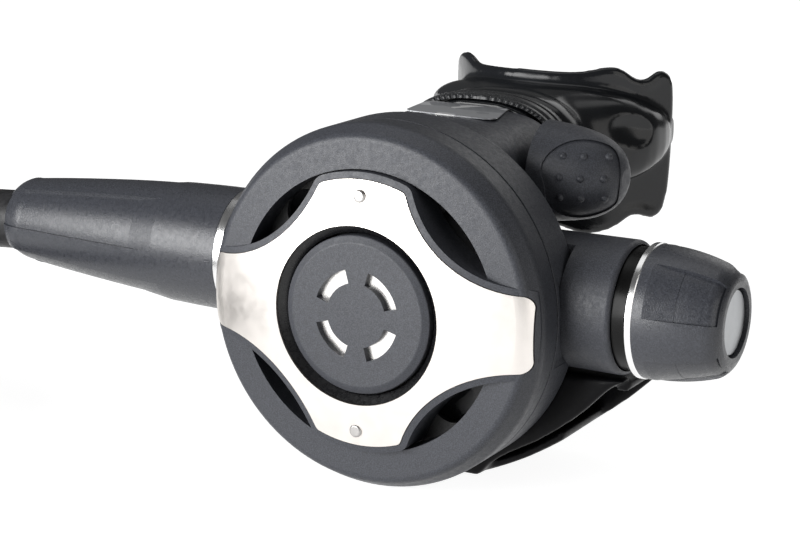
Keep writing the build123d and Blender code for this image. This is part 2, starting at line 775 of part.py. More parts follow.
def make_poppet():
    left = ORIFICE_X + SEAT_T + SEAT_GAP
    body = rod_x(POPPET_R, left, POPPET_END)
    body -= rod_x(VALVE_SPRING_R + 0.8, POPPET_END - 2.0, POPPET_END + 1)
    body -= rod_x(SEAT_R, left - 1, left + 1.0)
    slot = 2 * SLOT_HALF_X + POPPET_TRAVEL
    for up in (-1, 1):
        body -= Pos(PIVOT_X - POPPET_TRAVEL / 2, BARREL_Y, BARREL_Z + up * POPPET_R) * Box(slot, 14.0, 4.4)
    flat = Pos((left + 14) / 2, BARREL_Y + POPPET_R, BARREL_Z) * Box(14 - left, 3.0, 14.0)
    return body - flat


def make_poppet_seat():
    return rod_x(SEAT_R, ORIFICE_X + SEAT_GAP, ORIFICE_X + SEAT_T + SEAT_GAP + 1.0)


def make_valve_spring():
    left = POPPET_END - 2.0 + SPRING_GAP
    spring = ring_spring(VALVE_SPRING_R, SPRING_WIRE_R, 5, VALVE_SPRING_END - left)
    return Plane((left, BARREL_Y, BARREL_Z), z_dir=(1, 0, 0)).location * spring


def make_thrust_pad():
    left = VALVE_SPRING_END + SPRING_GAP
    pad = rod_x(POPPET_R, left, left + PAD_T - 1)
    return pad + rod_x(3.0, left, left + PAD_T)


def make_demand_lever():
    """A bent strip: two feet in the barrel's slots, two legs, and an arm to the diaphragm."""
    front = BARREL_Y - TUBE_R - 2.2
    tip_y = FACE_Y + GUARD_Y + GUARD_T + SLIP_T + BEAD_T / 2 + DISC_T + 0.2
    lever = None
    for up in (-1, 1):
        leg_z = BARREL_Z + up * LEVER_HALF_Z
        leg = Pos(PIVOT_X, (front + BARREL_Y) / 2, leg_z) * Box(3.0, BARREL_Y - front + 3, LEVER_WIRE)
        foot_face = Plane((PIVOT_X, BARREL_Y, leg_z), z_dir=(0, 0, -up)) * Circle(FOOT_R)
        foot = extrude(foot_face, LEVER_HALF_Z - POPPET_R + 1.4)
        lever = leg + foot if lever is None else lever + leg + foot
    bridge = Pos(PIVOT_X, front, BARREL_Z) * Box(3.0, LEVER_WIRE, 2 * LEVER_HALF_Z + LEVER_WIRE)
    bend = [
        (PIVOT_X + 1.4, front + LEVER_WIRE / 2, BARREL_Z),
        (PIVOT_X + 1.4, front - LEVER_WIRE / 2, BARREL_Z),
        (PIVOT_X - 4, front - LEVER_WIRE / 2, BARREL_Z),
        (2.0, tip_y, BARREL_Z),
        (-2.0, tip_y, BARREL_Z),
        (-2.0, tip_y + 1.0, BARREL_Z),
        (2.0, tip_y + LEVER_WIRE, BARREL_Z),
        (PIVOT_X - 4, front + LEVER_WIRE / 2, BARREL_Z),
    ]
    arm = extrude(make_face(Polyline(*bend, close=True)), 2.5, dir=(0, 0, 1), both=True)
    return lever + bridge + arm


# ---- breathing-effort knob
def make_adjust_bush():
    return turned_x(
        [
            (BUSH_LEFT, SCREW_R + RUN_FIT),
            (BUSH_LEFT, TUBE_BORE_R),
            (BUSH_RIGHT, TUBE_BORE_R),
            (BUSH_RIGHT, COLLAR_R - 2.0),
            (BUSH_RIGHT + 1.0, COLLAR_R - 2.0),
            (BUSH_RIGHT + 1.0, SCREW_R + RUN_FIT),
        ]
    )


def make_screw():
    left = VALVE_SPRING_END + SPRING_GAP + PAD_T + RUN_FIT
    screw = rod_x(SCREW_R, left, KNOB_END - 7.0)
    groove = rod_x(SCREW_R, 45.0, 46.6) - rod_x(SCREW_R - 0.9, 45.0, 46.6)
    return screw - groove


def make_packing_ring():
    return o_ring_x(45.8, SCREW_R - 0.85, SCREW_R + 0.35)


def make_knob_collar():
    return turned_x(
        [
            (COLLAR_LEFT, SCREW_R + 0.5),
            (COLLAR_LEFT, COLLAR_R - 0.4),
            (COLLAR_LEFT + 0.4, COLLAR_R),
            (KNOB_RING_X, COLLAR_R),
            (KNOB_RING_X, SCREW_R + 0.5),
        ]
    )


def make_knob_ring():
    ring = rod_x(KNOB_RING_R, KNOB_RING_X, KNOB_RING_X + KNOB_RING_T)
    ring = chamfer(ring.edges(), 0.2)
    return ring - rod_x(SCREW_R + 0.5, 40, 60)


def knob_profile(set_in):
    """Half section of the knob's outside, set in by set_in, closed on its axis."""
    left = KNOB_RING_X + KNOB_RING_T
    y, z = BARREL_Y, BARREL_Z
    side = ThreePointArc(
        (left, y, z + KNOB_R - set_in),
        (59.5, y, z + KNOB_MID_R - set_in),
        (65.6, y, z + KNOB_FAR_R - set_in),
    )
    nose = ThreePointArc(
        (65.6, y, z + KNOB_FAR_R - set_in),
        (67.9, y, z + 10.1 - set_in),
        (KNOB_END - set_in * 0.4, y, z + KNOB_NOSE_R - set_in),
    )
    rest = Polyline(
        (KNOB_END - set_in * 0.4, y, z + KNOB_NOSE_R - set_in),
        (KNOB_END - set_in * 0.4, y, z),
        (left, y, z),
        (left, y, z + KNOB_R - set_in),
    )
    return revolve(make_face([side, nose, rest]), BARREL_AXIS, 360)


def make_knob():
    full = knob_profile(0)
    ramp = turned_x(
        [
            (KNOB_PANEL_RAMP, KNOB_R + 0.2),
            (KNOB_PANEL_FLAT, KNOB_R - PANEL_DEEP - 0.5),
            (KNOB_PANEL_FLAT, 0),
            (KNOB_PANEL_RAMP - 9, 0),
            (KNOB_PANEL_RAMP - 9, KNOB_R + 0.2),
        ]
    )
    shell = full - knob_profile(PANEL_DEEP) - ramp
    for panel in grip_panels(shell, KNOB_PANEL_TURN, PANEL_SPAN, 50, KNOB_PANEL_END):
        full -= panel
    full -= rod_x(KNOB_RECESS_R, KNOB_END - KNOB_RECESS_DEEP, KNOB_END + 1)
    return full - rod_x(SCREW_R, 50, KNOB_END - 7.0)


def make_knob_cap():
    left = KNOB_END - KNOB_RECESS_DEEP
    cap = rod_x(KNOB_RECESS_R - 0.35, left, left + KNOB_CAP_T)
    return chamfer(cap.edges().sort_by(Axis.X)[-1], 0.25)


# ---- airflow lever
def lever_form(set_in):
    """The airflow lever's turned outside, set in by set_in."""
    y, z = LEVER_Y, MOUTH_Z
    outline = [(x - set_in * 0.3, y, z + r - set_in) for x, r in LEVER_OUTLINE]
    tip_x = outline[-1][0]
    rest = Polyline(outline[-1], (tip_x, y, z), (outline[0][0], y, z), outline[0])
    return revolve(make_face([Spline(*outline), rest]), LEVER_AXIS, 360)


def lever_radius(x):
    """The lever's radius at a distance from the middle."""
    for (x0, r0), (x1, r1) in zip(LEVER_OUTLINE, LEVER_OUTLINE[1:]):
        if x <= x1:
            return r0 + (r1 - r0) * (x - x0) / (x1 - x0)
    return LEVER_OUTLINE[-1][1]


def make_airflow_lever():
    y, z = LEVER_Y, MOUTH_Z
    body = lever_form(0)
    outline = [(x, y, z + up) for x, up in PAD_OUTLINE]
    pad = extrude(make_face(Spline(*outline, periodic=True)), 20, dir=(0, -1, 0))
    body -= pad - lever_form(PAD_DEEP)
    for column in (-1, 0, 1):
        x = STUD_X + column * STUD_PITCH
        for row in (-1, 0, 1):
            up = STUD_Z + row * STUD_PITCH
            ahead = sqrt((lever_radius(x) - PAD_DEEP) ** 2 - up**2) - STUD_SINK
            body += Pos(x, y - ahead, z + up) * Sphere(STUD_R)
    shaft = rod_x(LEVER_SHAFT_R, LEVER_SHAFT_LEFT, LEVER_LEFT + 1, y=y, z=z)
    groove = rod_x(5.0, 16.6, 18.0, y=y, z=z) - rod_x(LEVER_SHAFT_R - 0.9, 16.6, 18.0, y=y, z=z)
    return body + (shaft - groove)


def make_lever_o_ring():
    return o_ring_x(17.3, LEVER_SHAFT_R - 0.85, LEVER_SHAFT_R - 0.02, y=LEVER_Y, z=MOUTH_Z)


def make_vane():
    face = Plane((0, LEVER_Y, MOUTH_Z), z_dir=(0, 0, 1)) * Ellipse(VANE_HALF_X, VANE_HALF_Y)
    vane = extrude(face, VANE_T / 2, both=True)
    spine = rod_x(1.5, -VANE_HALF_X, LEVER_SHAFT_LEFT, y=LEVER_Y, z=MOUTH_Z)
    return vane + spine


# ---- mouthpiece and clamp
def flange_band():
    """A curved band round the teeth, with its edge scalloped beside each corner."""
    centre_y = FACE_Y + FLANGE_MID + FLANGE_SWEEP_R
    ring = Circle(FLANGE_SWEEP_R) - Circle(FLANGE_SWEEP_R - FLANGE_T)
    wall = extrude(Plane((0, centre_y, MOUTH_Z - 40), z_dir=(0, 0, 1)) * ring, 80)
    points = [(x, FACE_Y + 60, MOUTH_Z + up) for x, up in FLANGE_EDGE]
    sheet = extrude(make_face(Spline(*points, periodic=True)), 50, dir=(0, 1, 0))
    return wall & sheet & block(-60, 60, 60, FLANGE_BACK, -60, 80)


def mouth_funnel():
    """The neck, which widens to the full width of the band."""
    sections = []
    for back, half_x, half_z in FUNNEL:
        points = [(px, FACE_Y + back, MOUTH_Z + pz) for px, pz in oval(half_x, half_z)]
        sections.append(make_face(Spline(*points, periodic=True)))
    inside = Plane((0, FACE_Y + FLANGE_MID + FLANGE_SWEEP_R, MOUTH_Z - 40), z_dir=(0, 0, 1))
    return loft(sections) - extrude(inside * Circle(FLANGE_SWEEP_R - FLANGE_T / 2), 80)


def make_mouthpiece():
    front = STRAP_FRONT - 0.6
    collar = oval_bar(COLLAR_HALF_X - STRAP_T - SEAT_GAP, COLLAR_HALF_Z - 0.1, front, NECK_BACK + 7)
    bead = oval_bar(BEAD_HALF_X, BEAD_HALF_Z, STRAP_BACK + SLIDE_FIT, BEAD_BACK)
    bead = fillet(bead.edges(), 1.6)
    body = collar + bead + mouth_funnel() + flange_band()
    for side in (-1, 1):
        x0, x1 = sorted((side * BITE_IN_X, side * BITE_OUT_X))
        tab = block(x0, x1, BITE_FRONT, BITE_BACK, MOUTH_RISE - BITE_T / 2, MOUTH_RISE + BITE_T / 2)
        lug_x0, lug_x1 = sorted((side * BITE_IN_X, side * (BITE_IN_X + LUG_T)))
        low, high = MOUTH_RISE - LUG_HALF_Z, MOUTH_RISE + LUG_HALF_Z
        lug = block(lug_x0, lug_x1, BITE_BACK - 11, BITE_BACK, low, high)
        body += fillet(tab.edges().filter_by(Axis.Z), 3.0) + fillet(lug.edges().filter_by(Axis.X), 3.0)
    socket = oval_bar(SPIGOT_HALF_X + SEAT_GAP, SPIGOT_HALF_Z + SEAT_GAP, front - 1, SPIGOT_BACK + 0.4)
    airway = oval_bar(AIRWAY_HALF_X, AIRWAY_HALF_Z, SPIGOT_BACK, 110)
    return body - socket - airway


def make_clamp():
    outer = oval_bar(COLLAR_HALF_X + STRAP_T, COLLAR_HALF_Z + STRAP_T, STRAP_FRONT, STRAP_BACK)
    inner = oval_bar(COLLAR_HALF_X, COLLAR_HALF_Z, STRAP_FRONT - 1, STRAP_BACK + 1)
    strap = outer - inner
    bottom = MOUTH_RISE - COLLAR_HALF_Z
    buckle = block(-16, -5, STRAP_FRONT + 0.6, STRAP_BACK - 0.6, bottom - 4.2, bottom - 0.6)
    buckle = fillet(buckle.edges().filter_by(Axis.Y), 1.0)
    return strap + (buckle - inner)


# ---- exhaust
def tee_face(inset, lip, back):
    """The tee's section in X and Z, set in by inset; lip draws the lower edge in further."""
    shrink = inset * 0.7 + lip * 0.6
    foot = TEE_HALF_FOOT - inset / 2
    low = inset - COVER_Z
    under = [(x - shrink, z + shrink) for x, z in TEE_UNDER[:-1]]
    tip_x, tip_z = TEE_UNDER[-1]
    tip = (tip_x - inset * 0.8, tip_z + lip * 0.5)
    top = [(tip[0] - 2.0, tip_z + 1.6 - inset), (34.0, -12.2 - inset), (20.0, TEE_TOP - 1.0 - inset)]
    edges = []
    for side in (-1, 1):
        def at(point):
            return (side * point[0], FACE_Y + back, COVER_Z + point[1])
        edges.append(Line(at((0, low)), at((foot, low))))
        edges.append(Spline(*[at(p) for p in [(foot, low), *under, tip]]))
        edges.append(Polyline(*[at(p) for p in [tip, *top, (0, TEE_TOP - inset)]]))
    return make_face(edges)


def tee_slab(inset, lip, front, back):
    """The tee's section as a slab along Y."""
    return extrude(tee_face(inset, lip, back), back - front, dir=(0, -1, 0))


def make_tee():
    rear = tee_slab(0, 0, TEE_FRONT + 4, TEE_REAR)
    front = tee_slab(0, TEE_LIP_SET, TEE_FRONT, TEE_FRONT + 4)
    body = front + rear
    hollow = tee_slab(TEE_WALL, 0, TEE_FRONT + 2.2, TEE_REAR - TEE_WALL)
    outlets = None
    for side in (-1, 1):
        x0, x1 = sorted((side * 33.5, side * 60))
        mouth = block(x0, x1, TEE_FRONT + 2.2, TEE_REAR - TEE_WALL, -40, TEE_UNDER[-1][1] - 1.6)
        outlets = mouth if outlets is None else outlets + mouth
    body = body - hollow - outlets
    case_space = turned_y(
        [
            (0, CASE_BACK + 0.15),
            (CASE_BACK_R + 0.15, CASE_BACK + 0.15),
            (CASE_SHOULDER_R + 0.2, CASE_SHOULDER_AT),
            (CASE_SHOULDER_R + 0.8, RIM_BACK + 0.1),
            (COVER_R + 0.3, RIM_BACK + 0.1),
            (COVER_R + 0.3, 0),
            (0, 0),
        ],
        {1: 5.0, 2: 2.0},
    )
    body -= case_space
    body -= rod_y(PORT_SEAT_R + 0.1, 20, CASE_BACK + 1.1, z=COVER_Z - PORT_DROP)
    return body - rod_x(BARREL_R + 0.15, -60, 60)


def make_exhaust_valve():
    z = COVER_Z - PORT_DROP
    seat = CASE_BACK + 1.0 + SEAT_GAP
    disc = rod_y(VALVE_R, seat, seat + VALVE_T, z=z)
    return disc + rod_y(2.0, seat - 6.0, seat + 0.2, z=z)


def make_valve_spider():
    """The spoked seat that holds the exhaust valve's stem."""
    z = COVER_Z - PORT_DROP
    back = CASE_BACK - 0.5
    spider = rod_y(PORT_R, back - 2, back, z=z) - rod_y(PORT_R - 1.2, back - 2, back, z=z)
    for turn in (0, 60, 120):
        spoke = Pos(0, FACE_Y + back - 1, z) * Rot(0, turn, 0) * Box(2 * PORT_R - 1.0, 2.0, 1.6)
        spider += spoke
    spider += rod_y(3.4, back - 2, back, z=z)
    return spider - rod_y(2.0 + SLIDE_FIT, back - 5, back + 5, z=z)


# ---- hose
def hexagon_x(across, left, right, y, z):
    """A hexagonal bar along X, by its size across flats."""
    face = Plane((left, y, z), z_dir=(1, 0, 0)) * RegularPolygon(across / sqrt(3), 6)
    return extrude(face, right - left)


def make_sleeve_ring():
    right = -HOUSING_LEFT
    ring = rod_x(BARREL_R - 0.05, right - SLEEVE_RING_T, right)
    ring = chamfer(ring.edges(), 0.2)
    return ring - rod_x(TUBE_BORE_R + 0.6, -60, 0)


def sleeve_profile(set_in):
    """Half section of the hose sleeve's outside, set in by set_in."""
    right = -HOUSING_LEFT - SLEEVE_RING_T
    y, z = BARREL_Y, BARREL_Z
    points = [(right, SLEEVE_BASE_R), (-57.0, 13.3), (-68.0, 12.75)]
    points += [(-80.0, 11.8), (-90.0, 10.85), (-98.5, 9.9)]
    side = Spline(*[(x, y, z + r - set_in) for x, r in points])
    nose = ThreePointArc(
        (-98.5, y, z + 9.9 - set_in), (-102.4, y, z + 9.0 - set_in), (-SLEEVE_END, y, z + 7.5 - set_in * 0.5)
    )
    rest = Polyline(
        (-SLEEVE_END, y, z + 7.5 - set_in * 0.5),
        (-SLEEVE_END, y, z),
        (right, y, z),
        (right, y, z + SLEEVE_BASE_R - set_in),
    )
    return revolve(make_face([side, nose, rest]), BARREL_AXIS, 360)


def make_hose_sleeve():
    full = sleeve_profile(0)
    ramp = turned_x(
        [
            (-SLEEVE_PANEL_RAMP, SLEEVE_BASE_R + 0.2),
            (-SLEEVE_PANEL_FLAT, SLEEVE_BASE_R - PANEL_DEEP - 0.5),
            (-SLEEVE_PANEL_FLAT, 0),
            (-30, 0),
            (-30, SLEEVE_BASE_R + 0.2),
        ]
    )
    shell = full - sleeve_profile(PANEL_DEEP) - ramp
    for panel in grip_panels(shell, SLEEVE_PANEL_TURN, PANEL_SPAN + 5, -110, -50):
        full -= panel
    nut_end = -(HOUSING_LEFT + SLEEVE_RING_T + NUT_LONG)
    bore = turned_x(
        [
            (0, 0),
            (0, SLEEVE_BORE_R),
            (nut_end - 0.4, SLEEVE_BORE_R),
            (nut_end - 3.0, FERRULE_R + SLIDE_FIT),
            (FERRULE_END_X - 0.4, FERRULE_R + SLIDE_FIT),
            (FERRULE_END_X - 3.0, HOSE_R + SLIDE_FIT),
            (-120, HOSE_R + SLIDE_FIT),
            (-120, 0),
        ]
    )
    return full - bore


def make_hose_nut():
    right = -HOUSING_LEFT - SLEEVE_RING_T
    nut = hexagon_x(NUT_AF, right - NUT_LONG, right, BARREL_Y, BARREL_Z)
    nut += rod_x(TUBE_BORE_R, right, -TUBE_LEFT)
    return nut - rod_x(4.6 + RUN_FIT, -70, 0)


def make_hose_stem():
    right = -TUBE_LEFT
    left = FERRULE_END_X
    stem = turned_x(
        [
            (left, STEM_BORE_R),
            (left, HOSE_BORE / 2),
            (left + FERRULE_LONG, HOSE_BORE / 2),
            (left + FERRULE_LONG, 4.6),
            (right - 3.4, 4.6),
            (right - 3.4, 3.8),
            (right - 2.0, 3.8),
            (right - 2.0, 4.6),
            (right, 4.6),
            (right, STEM_BORE_R),
        ]
    )
    return stem


def make_hose_o_ring():
    return o_ring_x(-TUBE_LEFT - 2.7, 3.8, 4.6)


def make_hose_ferrule():
    right = FERRULE_END_X + FERRULE_LONG
    ferrule = turned_x(
        [
            (FERRULE_END_X, HOSE_R),
            (FERRULE_END_X, FERRULE_R),
            (right, FERRULE_R),
            (right, 4.6),
            (right - 2.0, 4.6),
            (right - 2.0, HOSE_R),
        ],
        {1: 0.8, 2: 0.8},
    )
    for step in range(3):
        x = FERRULE_END_X + 4 + 6 * step
        ferrule -= rod_x(FERRULE_R + 1, x, x + 2) - rod_x(FERRULE_R - 0.4, x, x + 2)
    return ferrule


def bend_radii(points):
    """Each corner's radius: 0.45 of its shorter run, over the tangent of half its turn."""
    spots = [Vector(*point) for point in points]
    radii = []
    for before, here, after in zip(spots, spots[1:], spots[2:]):
        turn = radians((here - before).get_angle(after - here))
        radii.append(0.45 * min((here - before).length, (after - here).length) / tan(turn / 2))
    return radii


def make_hose():
    radii = bend_radii(HOSE_POINTS)
    print("hose bend radii, mm:", [round(radius, 1) for radius in radii])
    path = FilletPolyline(*HOSE_POINTS, radius=radii)
    start = Plane(HOSE_POINTS[0], z_dir=(-1, 0, 0))
    tube = sweep(start * Circle(HOSE_R), path)
    tube -= rod_x(HOSE_BORE / 2, FERRULE_END_X, FERRULE_END_X + FERRULE_LONG)
    print("hose tube volume", round(tube.volume), "section x length", round(pi * HOSE_R**2 * path.length))
    return tube


def make_hose_coil():
    """The outer shape of the coiled hose, two turns high at its crossing."""
    inner, outer = COIL_R - HOSE_R - COIL_GAP, COIL_R + HOSE_R + COIL_GAP
    high = 2 * HOSE_D + COIL_GAP
    ring = Pos(COIL_X, COIL_Y, high / 2) * (Cylinder(outer, high) - Cylinder(inner, high))
    return fillet(ring.edges().filter_by(GeomType.CIRCLE), 4.0)


def make_hose_tail():
    """The straight stretch of hose that leaves the coil for the far end's fitting."""
    y = COIL_Y - COIL_R
    start = (COIL_X + TAIL_FROM, y, HOSE_R + FLOOR_GAP)
    points = [start, (FAR_FERRULE_X - END_SLEEVE_LONG - 1.0, y, END_AXIS_Z), (FAR_FERRULE_X, y, END_AXIS_Z)]
    path = FilletPolyline(*points, radius=bend_radii(points))
    return sweep(Plane(start, z_dir=path % 0) * Circle(HOSE_R), path)


def make_end_relief():
    """A tapered rubber sleeve that keeps the hose from kinking at its fitting."""
    x = FAR_FERRULE_X
    return turned_x(
        [
            (x - END_SLEEVE_LONG, HOSE_R + SLIDE_FIT),
            (x - END_SLEEVE_LONG, END_SLEEVE_TIP_R),
            (x - 4.0, END_SLEEVE_R),
            (x - SEAT_GAP, END_SLEEVE_R),
            (x - SEAT_GAP, HOSE_R + SLIDE_FIT),
        ],
        {3: 0.6},
        y=COIL_Y - COIL_R,
        z=END_AXIS_Z,
    )


def make_end_ferrule():
    x = FAR_FERRULE_X
    return turned_x(
        [
            (x, HOSE_BORE / 2),
            (x, END_FERRULE_R),
            (x + END_FERRULE_LONG, END_FERRULE_R),
            (x + END_FERRULE_LONG, HOSE_BORE / 2),
        ],
        {1: 0.8, 2: 0.8},
        y=COIL_Y - COIL_R,
        z=END_AXIS_Z,
    )


def make_end_fitting():
    y = COIL_Y - COIL_R
    x = FAR_FERRULE_X + END_FERRULE_LONG
    hexagon = hexagon_x(END_HEX_AF, x, x + END_HEX_LONG, y, END_AXIS_Z)
    groove = x + END_HEX_LONG
    neck = rod_x(THREAD_R - 0.9, groove, groove + END_NECK, y=y, z=END_AXIS_Z)
    thread = rod_x(THREAD_R, groove + END_NECK, groove + END_NECK + THREAD_LONG, y=y, z=END_AXIS_Z)
    fitting = hexagon + neck + thread
    return fitting - rod_x(STEM_BORE_R, x - 1, groove + END_NECK + THREAD_LONG + 1, y=y, z=END_AXIS_Z)


def make_end_o_ring():
    x = FAR_FERRULE_X + END_FERRULE_LONG + END_HEX_LONG + END_NECK / 2
    return o_ring_x(x, THREAD_R - 0.85, THREAD_R + END_NECK - 1.2, y=COIL_Y - COIL_R, z=END_AXIS_Z)


PARTS = {
    "cover": make_cover,
    "face_plate": make_plate,
    "purge_bezel": make_bezel,
    "purge_button": make_button,
    "purge_inlay": make_inlay,
    "purge_hub": make_hub,
    "purge_spring": make_purge_spring,
    "diaphragm_guard": make_guard,
    "slip_ring": make_slip_ring,
    "diaphragm": make_diaphragm,
    "diaphragm_disc": make_diaphragm_disc,
    "case": make_case,
    "case_label": make_label,
    "valve_barrel": make_valve_barrel,
    "orifice": make_orifice,
    "poppet": make_poppet,
    "poppet_seat": make_poppet_seat,
    "valve_spring": make_valve_spring,
    "thrust_pad": make_thrust_pad,
    "demand_lever": make_demand_lever,
    "adjust_bush": make_adjust_bush,
    "adjust_screw": make_screw,
    "packing_o_ring": make_packing_ring,
    "knob_collar": make_knob_collar,
    "knob_ring": make_knob_ring,
    "knob": make_knob,
    "knob_cap": make_knob_cap,
    "airflow_lever": make_airflow_lever,
    "airflow_o_ring": make_lever_o_ring,
    "airflow_vane": make_vane,
    "mouthpiece": make_mouthpiece,
    "mouthpiece_clamp": make_clamp,
    "exhaust_valve": make_exhaust_valve,
    "exhaust_spider": make_valve_spider,
    "exhaust_tee": make_tee,
    "sleeve_ring": make_sleeve_ring,
    "hose_sleeve": make_hose_sleeve,
    "hose_nut": make_hose_nut,
    "hose_stem": make_hose_stem,
    "hose_o_ring": make_hose_o_ring,
    "hose_ferrule": make_hose_ferrule,
    "hose": make_hose,
    "hose_coil": make_hose_coil,
    "hose_tail": make_hose_tail,
    "end_relief": make_end_relief,
    "end_ferrule": make_end_ferrule,
    "end_fitting": make_end_fitting,
    "end_o_ring": make_end_o_ring,
}

for name, make in PARTS.items():
    write(name, make())
for side, up in (("top", 1), ("bottom", -1)):
    write("plate_rivet_" + side, make_rivet(up))
write("orifice_o_ring", o_ring_x(ORIFICE_X - ORIFICE_LONG + 5, ORIFICE_R + 1.25, TUBE_BORE_R - 0.02))
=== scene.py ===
import json
import math

import bmesh
import bpy
from bpy.props import FloatProperty, FloatVectorProperty, IntProperty, PointerProperty
from mathutils import Matrix, Vector


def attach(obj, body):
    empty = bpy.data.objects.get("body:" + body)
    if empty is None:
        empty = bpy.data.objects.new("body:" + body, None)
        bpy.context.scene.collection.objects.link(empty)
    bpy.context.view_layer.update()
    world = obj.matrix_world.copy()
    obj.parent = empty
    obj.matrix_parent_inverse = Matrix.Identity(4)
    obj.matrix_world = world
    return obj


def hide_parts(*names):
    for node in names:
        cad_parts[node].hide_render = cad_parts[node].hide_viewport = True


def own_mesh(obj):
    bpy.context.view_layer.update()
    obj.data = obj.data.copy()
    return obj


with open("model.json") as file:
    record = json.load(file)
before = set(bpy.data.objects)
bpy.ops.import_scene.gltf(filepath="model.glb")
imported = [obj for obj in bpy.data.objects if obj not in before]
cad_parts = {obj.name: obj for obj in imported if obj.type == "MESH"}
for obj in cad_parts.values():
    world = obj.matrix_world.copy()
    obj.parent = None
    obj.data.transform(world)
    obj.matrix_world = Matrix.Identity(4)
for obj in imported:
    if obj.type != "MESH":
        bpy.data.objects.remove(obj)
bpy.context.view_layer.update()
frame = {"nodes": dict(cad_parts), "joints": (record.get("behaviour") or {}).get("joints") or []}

bl_info = {
    "name": "Diving regulator looks",
    "version": (1, 0, 0),
    "blender": (4, 5, 0),
    "location": "View3D > Sidebar > Regulator",
    "description": "Dresses the packed second-stage regulator with its hose, soft pieces and finishes",
    "category": "Object",
}

MM = 0.001
NODES = frame["nodes"]

# ---- places and strokes that the pieces share, in metres
JOINTS = {joint["name"]: joint for joint in frame["joints"]}
FACE_Y = -33.0 * MM           # front face of the cover's rim
MOUTH_Z = JOINTS["airflow_turn"]["pos_m"][2]                  # the mouthpiece tube's axis
POPPET_TRAVEL = JOINTS["poppet_travel"]["range_m"][1]
SCREW_TRAVEL = JOINTS["adjuster_travel"]["range_m"][1]

# ---- the hose: out of its ferrule, through the sleeve and down to the coil
HOSE_START = [
    (-0.0789, -0.0077, 0.0396),
    (-0.1120, -0.0077, 0.0396),
    (-0.1380, -0.0071, 0.0340),
    (-0.1600, -0.0077, 0.0276),
]
HOSE_TAIL = [
    (-0.1300, -0.1427, 0.00685),
    (-0.1120, -0.1427, 0.008356),
    (-0.0950, -0.1427, 0.008356),
]
COIL_MIDDLE = (-0.160, -0.0752)
COIL_R = 0.0675
COIL_HIGH = 0.0205            # centre of the upper turn
COIL_LOW = 0.00685            # centre of the turn on the floor
COIL_START = 90.0             # the coil's first angle, in degrees
COIL_SWEEP = 540.0            # one and a half turns
COIL_LEVEL = 130.0            # from here the upper turn keeps its height
COIL_DROP = 270.0             # from here it goes down, over half a turn
COIL_FLOOR = 450.0            # from here it lies on the floor

# ---- the mouthpiece, in mm; the band's edge is given across and above the mouthpiece's axis
BAND_SWEEP_R = 29.8           # outside radius of the band's curve round the teeth
BAND_MIDDLE = 75.0            # the band's front, behind the cover's face
BAND_T = 2.4                  # wall of the band
BAND_ROLL = 1.3               # radius of the band's rolled edge
BAND_EDGE = [
    (-2.8, 13.2), (4.2, 13.2), (8.5, 13.3), (12.4, 13.8), (15.2, 14.5), (17.0, 14.7), (18.5, 14.0),
    (20.3, 12.4), (22.0, 11.6), (23.4, 12.1), (24.3, 13.2), (25.1, 13.4), (25.7, 12.2), (26.0, 9.5),
    (26.1, 5.0), (26.1, -2.6), (26.0, -9.5), (25.7, -14.5), (25.2, -17.2), (24.4, -18.0), (23.4, -17.6),
    (22.2, -17.1), (20.6, -17.4), (18.4, -19.4), (16.2, -20.6), (12.6, -21.2), (7.0, -19.5), (0.0, -18.2),
    (-7.0, -19.5), (-12.6, -21.2), (-16.6, -20.4), (-19.0, -18.4), (-21.4, -17.3), (-23.6, -17.6),
    (-24.8, -17.8), (-25.6, -15.4), (-26.2, -8.6), (-26.3, 2.0), (-26.1, 8.6), (-25.4, 11.6),
    (-24.0, 13.2), (-22.4, 14.1), (-20.4, 14.4), (-18.6, 13.9), (-16.9, 13.1), (-14.6, 12.8), (-9.5, 13.0),
]
FUNNEL_RINGS = [              # behind the face, half width, half height, squareness
    (48.9, 16.5, 10.9, 2.4), (57.2, 16.7, 11.0, 2.4), (57.6, 17.9, 11.4, 2.4), (58.8, 18.9, 12.1, 2.4),
    (61.6, 19.0, 12.1, 2.4), (63.6, 18.7, 11.9, 2.4), (65.4, 18.2, 11.3, 2.5), (67.5, 19.0, 11.2, 2.7),
    (70.0, 20.9, 11.4, 2.9), (73.0, 23.3, 11.6, 3.1), (76.0, 25.7, 11.6, 3.3), (79.0, 27.5, 11.2, 3.4),
    (82.0, 28.4, 10.6, 3.4), (86.0, 28.7, 9.6, 3.3), (90.0, 28.2, 8.4, 3.1), (92.5, 27.2, 7.2, 3.0),
]
AIRWAY_HALF = (13.0, 6.0)     # the air way's half width and half height
AIRWAY_BACKS = (57.0, 80.0, 112.0)
SOCKET_HALF = (15.7, 8.9)     # the hollow that the case's tube goes into
SOCKET_BACKS = (40.0, 57.9)
BITE_BLOCKS = [               # on the right side: middle (across, behind, above), half sizes
    ((20.0, 92.0, 0.0), (5.2, 7.6, 1.5)),
    ((16.2, 94.5, 0.0), (1.6, 5.4, 6.8)),
    ((25.2, 95.5, 0.0), (0.9, 3.2, 3.6)),
]
POCKET_MIDDLE = (26.3, 74.4, 3.4)                             # the hollow in the funnel's right side
POCKET_HALVES = (7.2, 3.1, 4.0)                               # its half length, depth and height
POCKET_ALONG = (8.5, 12.0, -3.6)                              # the way its length runs
POCKET_OUT = (0.8, -0.57, 0.2)                                # the way its depth runs
POCKET_POWER = 2.4            # 2 is an ellipsoid, more is squarer
MOUTH_VOXEL = 0.00055         # grid of the melted skin, in metres
MOUTH_TURNS = 10              # smoothing passes

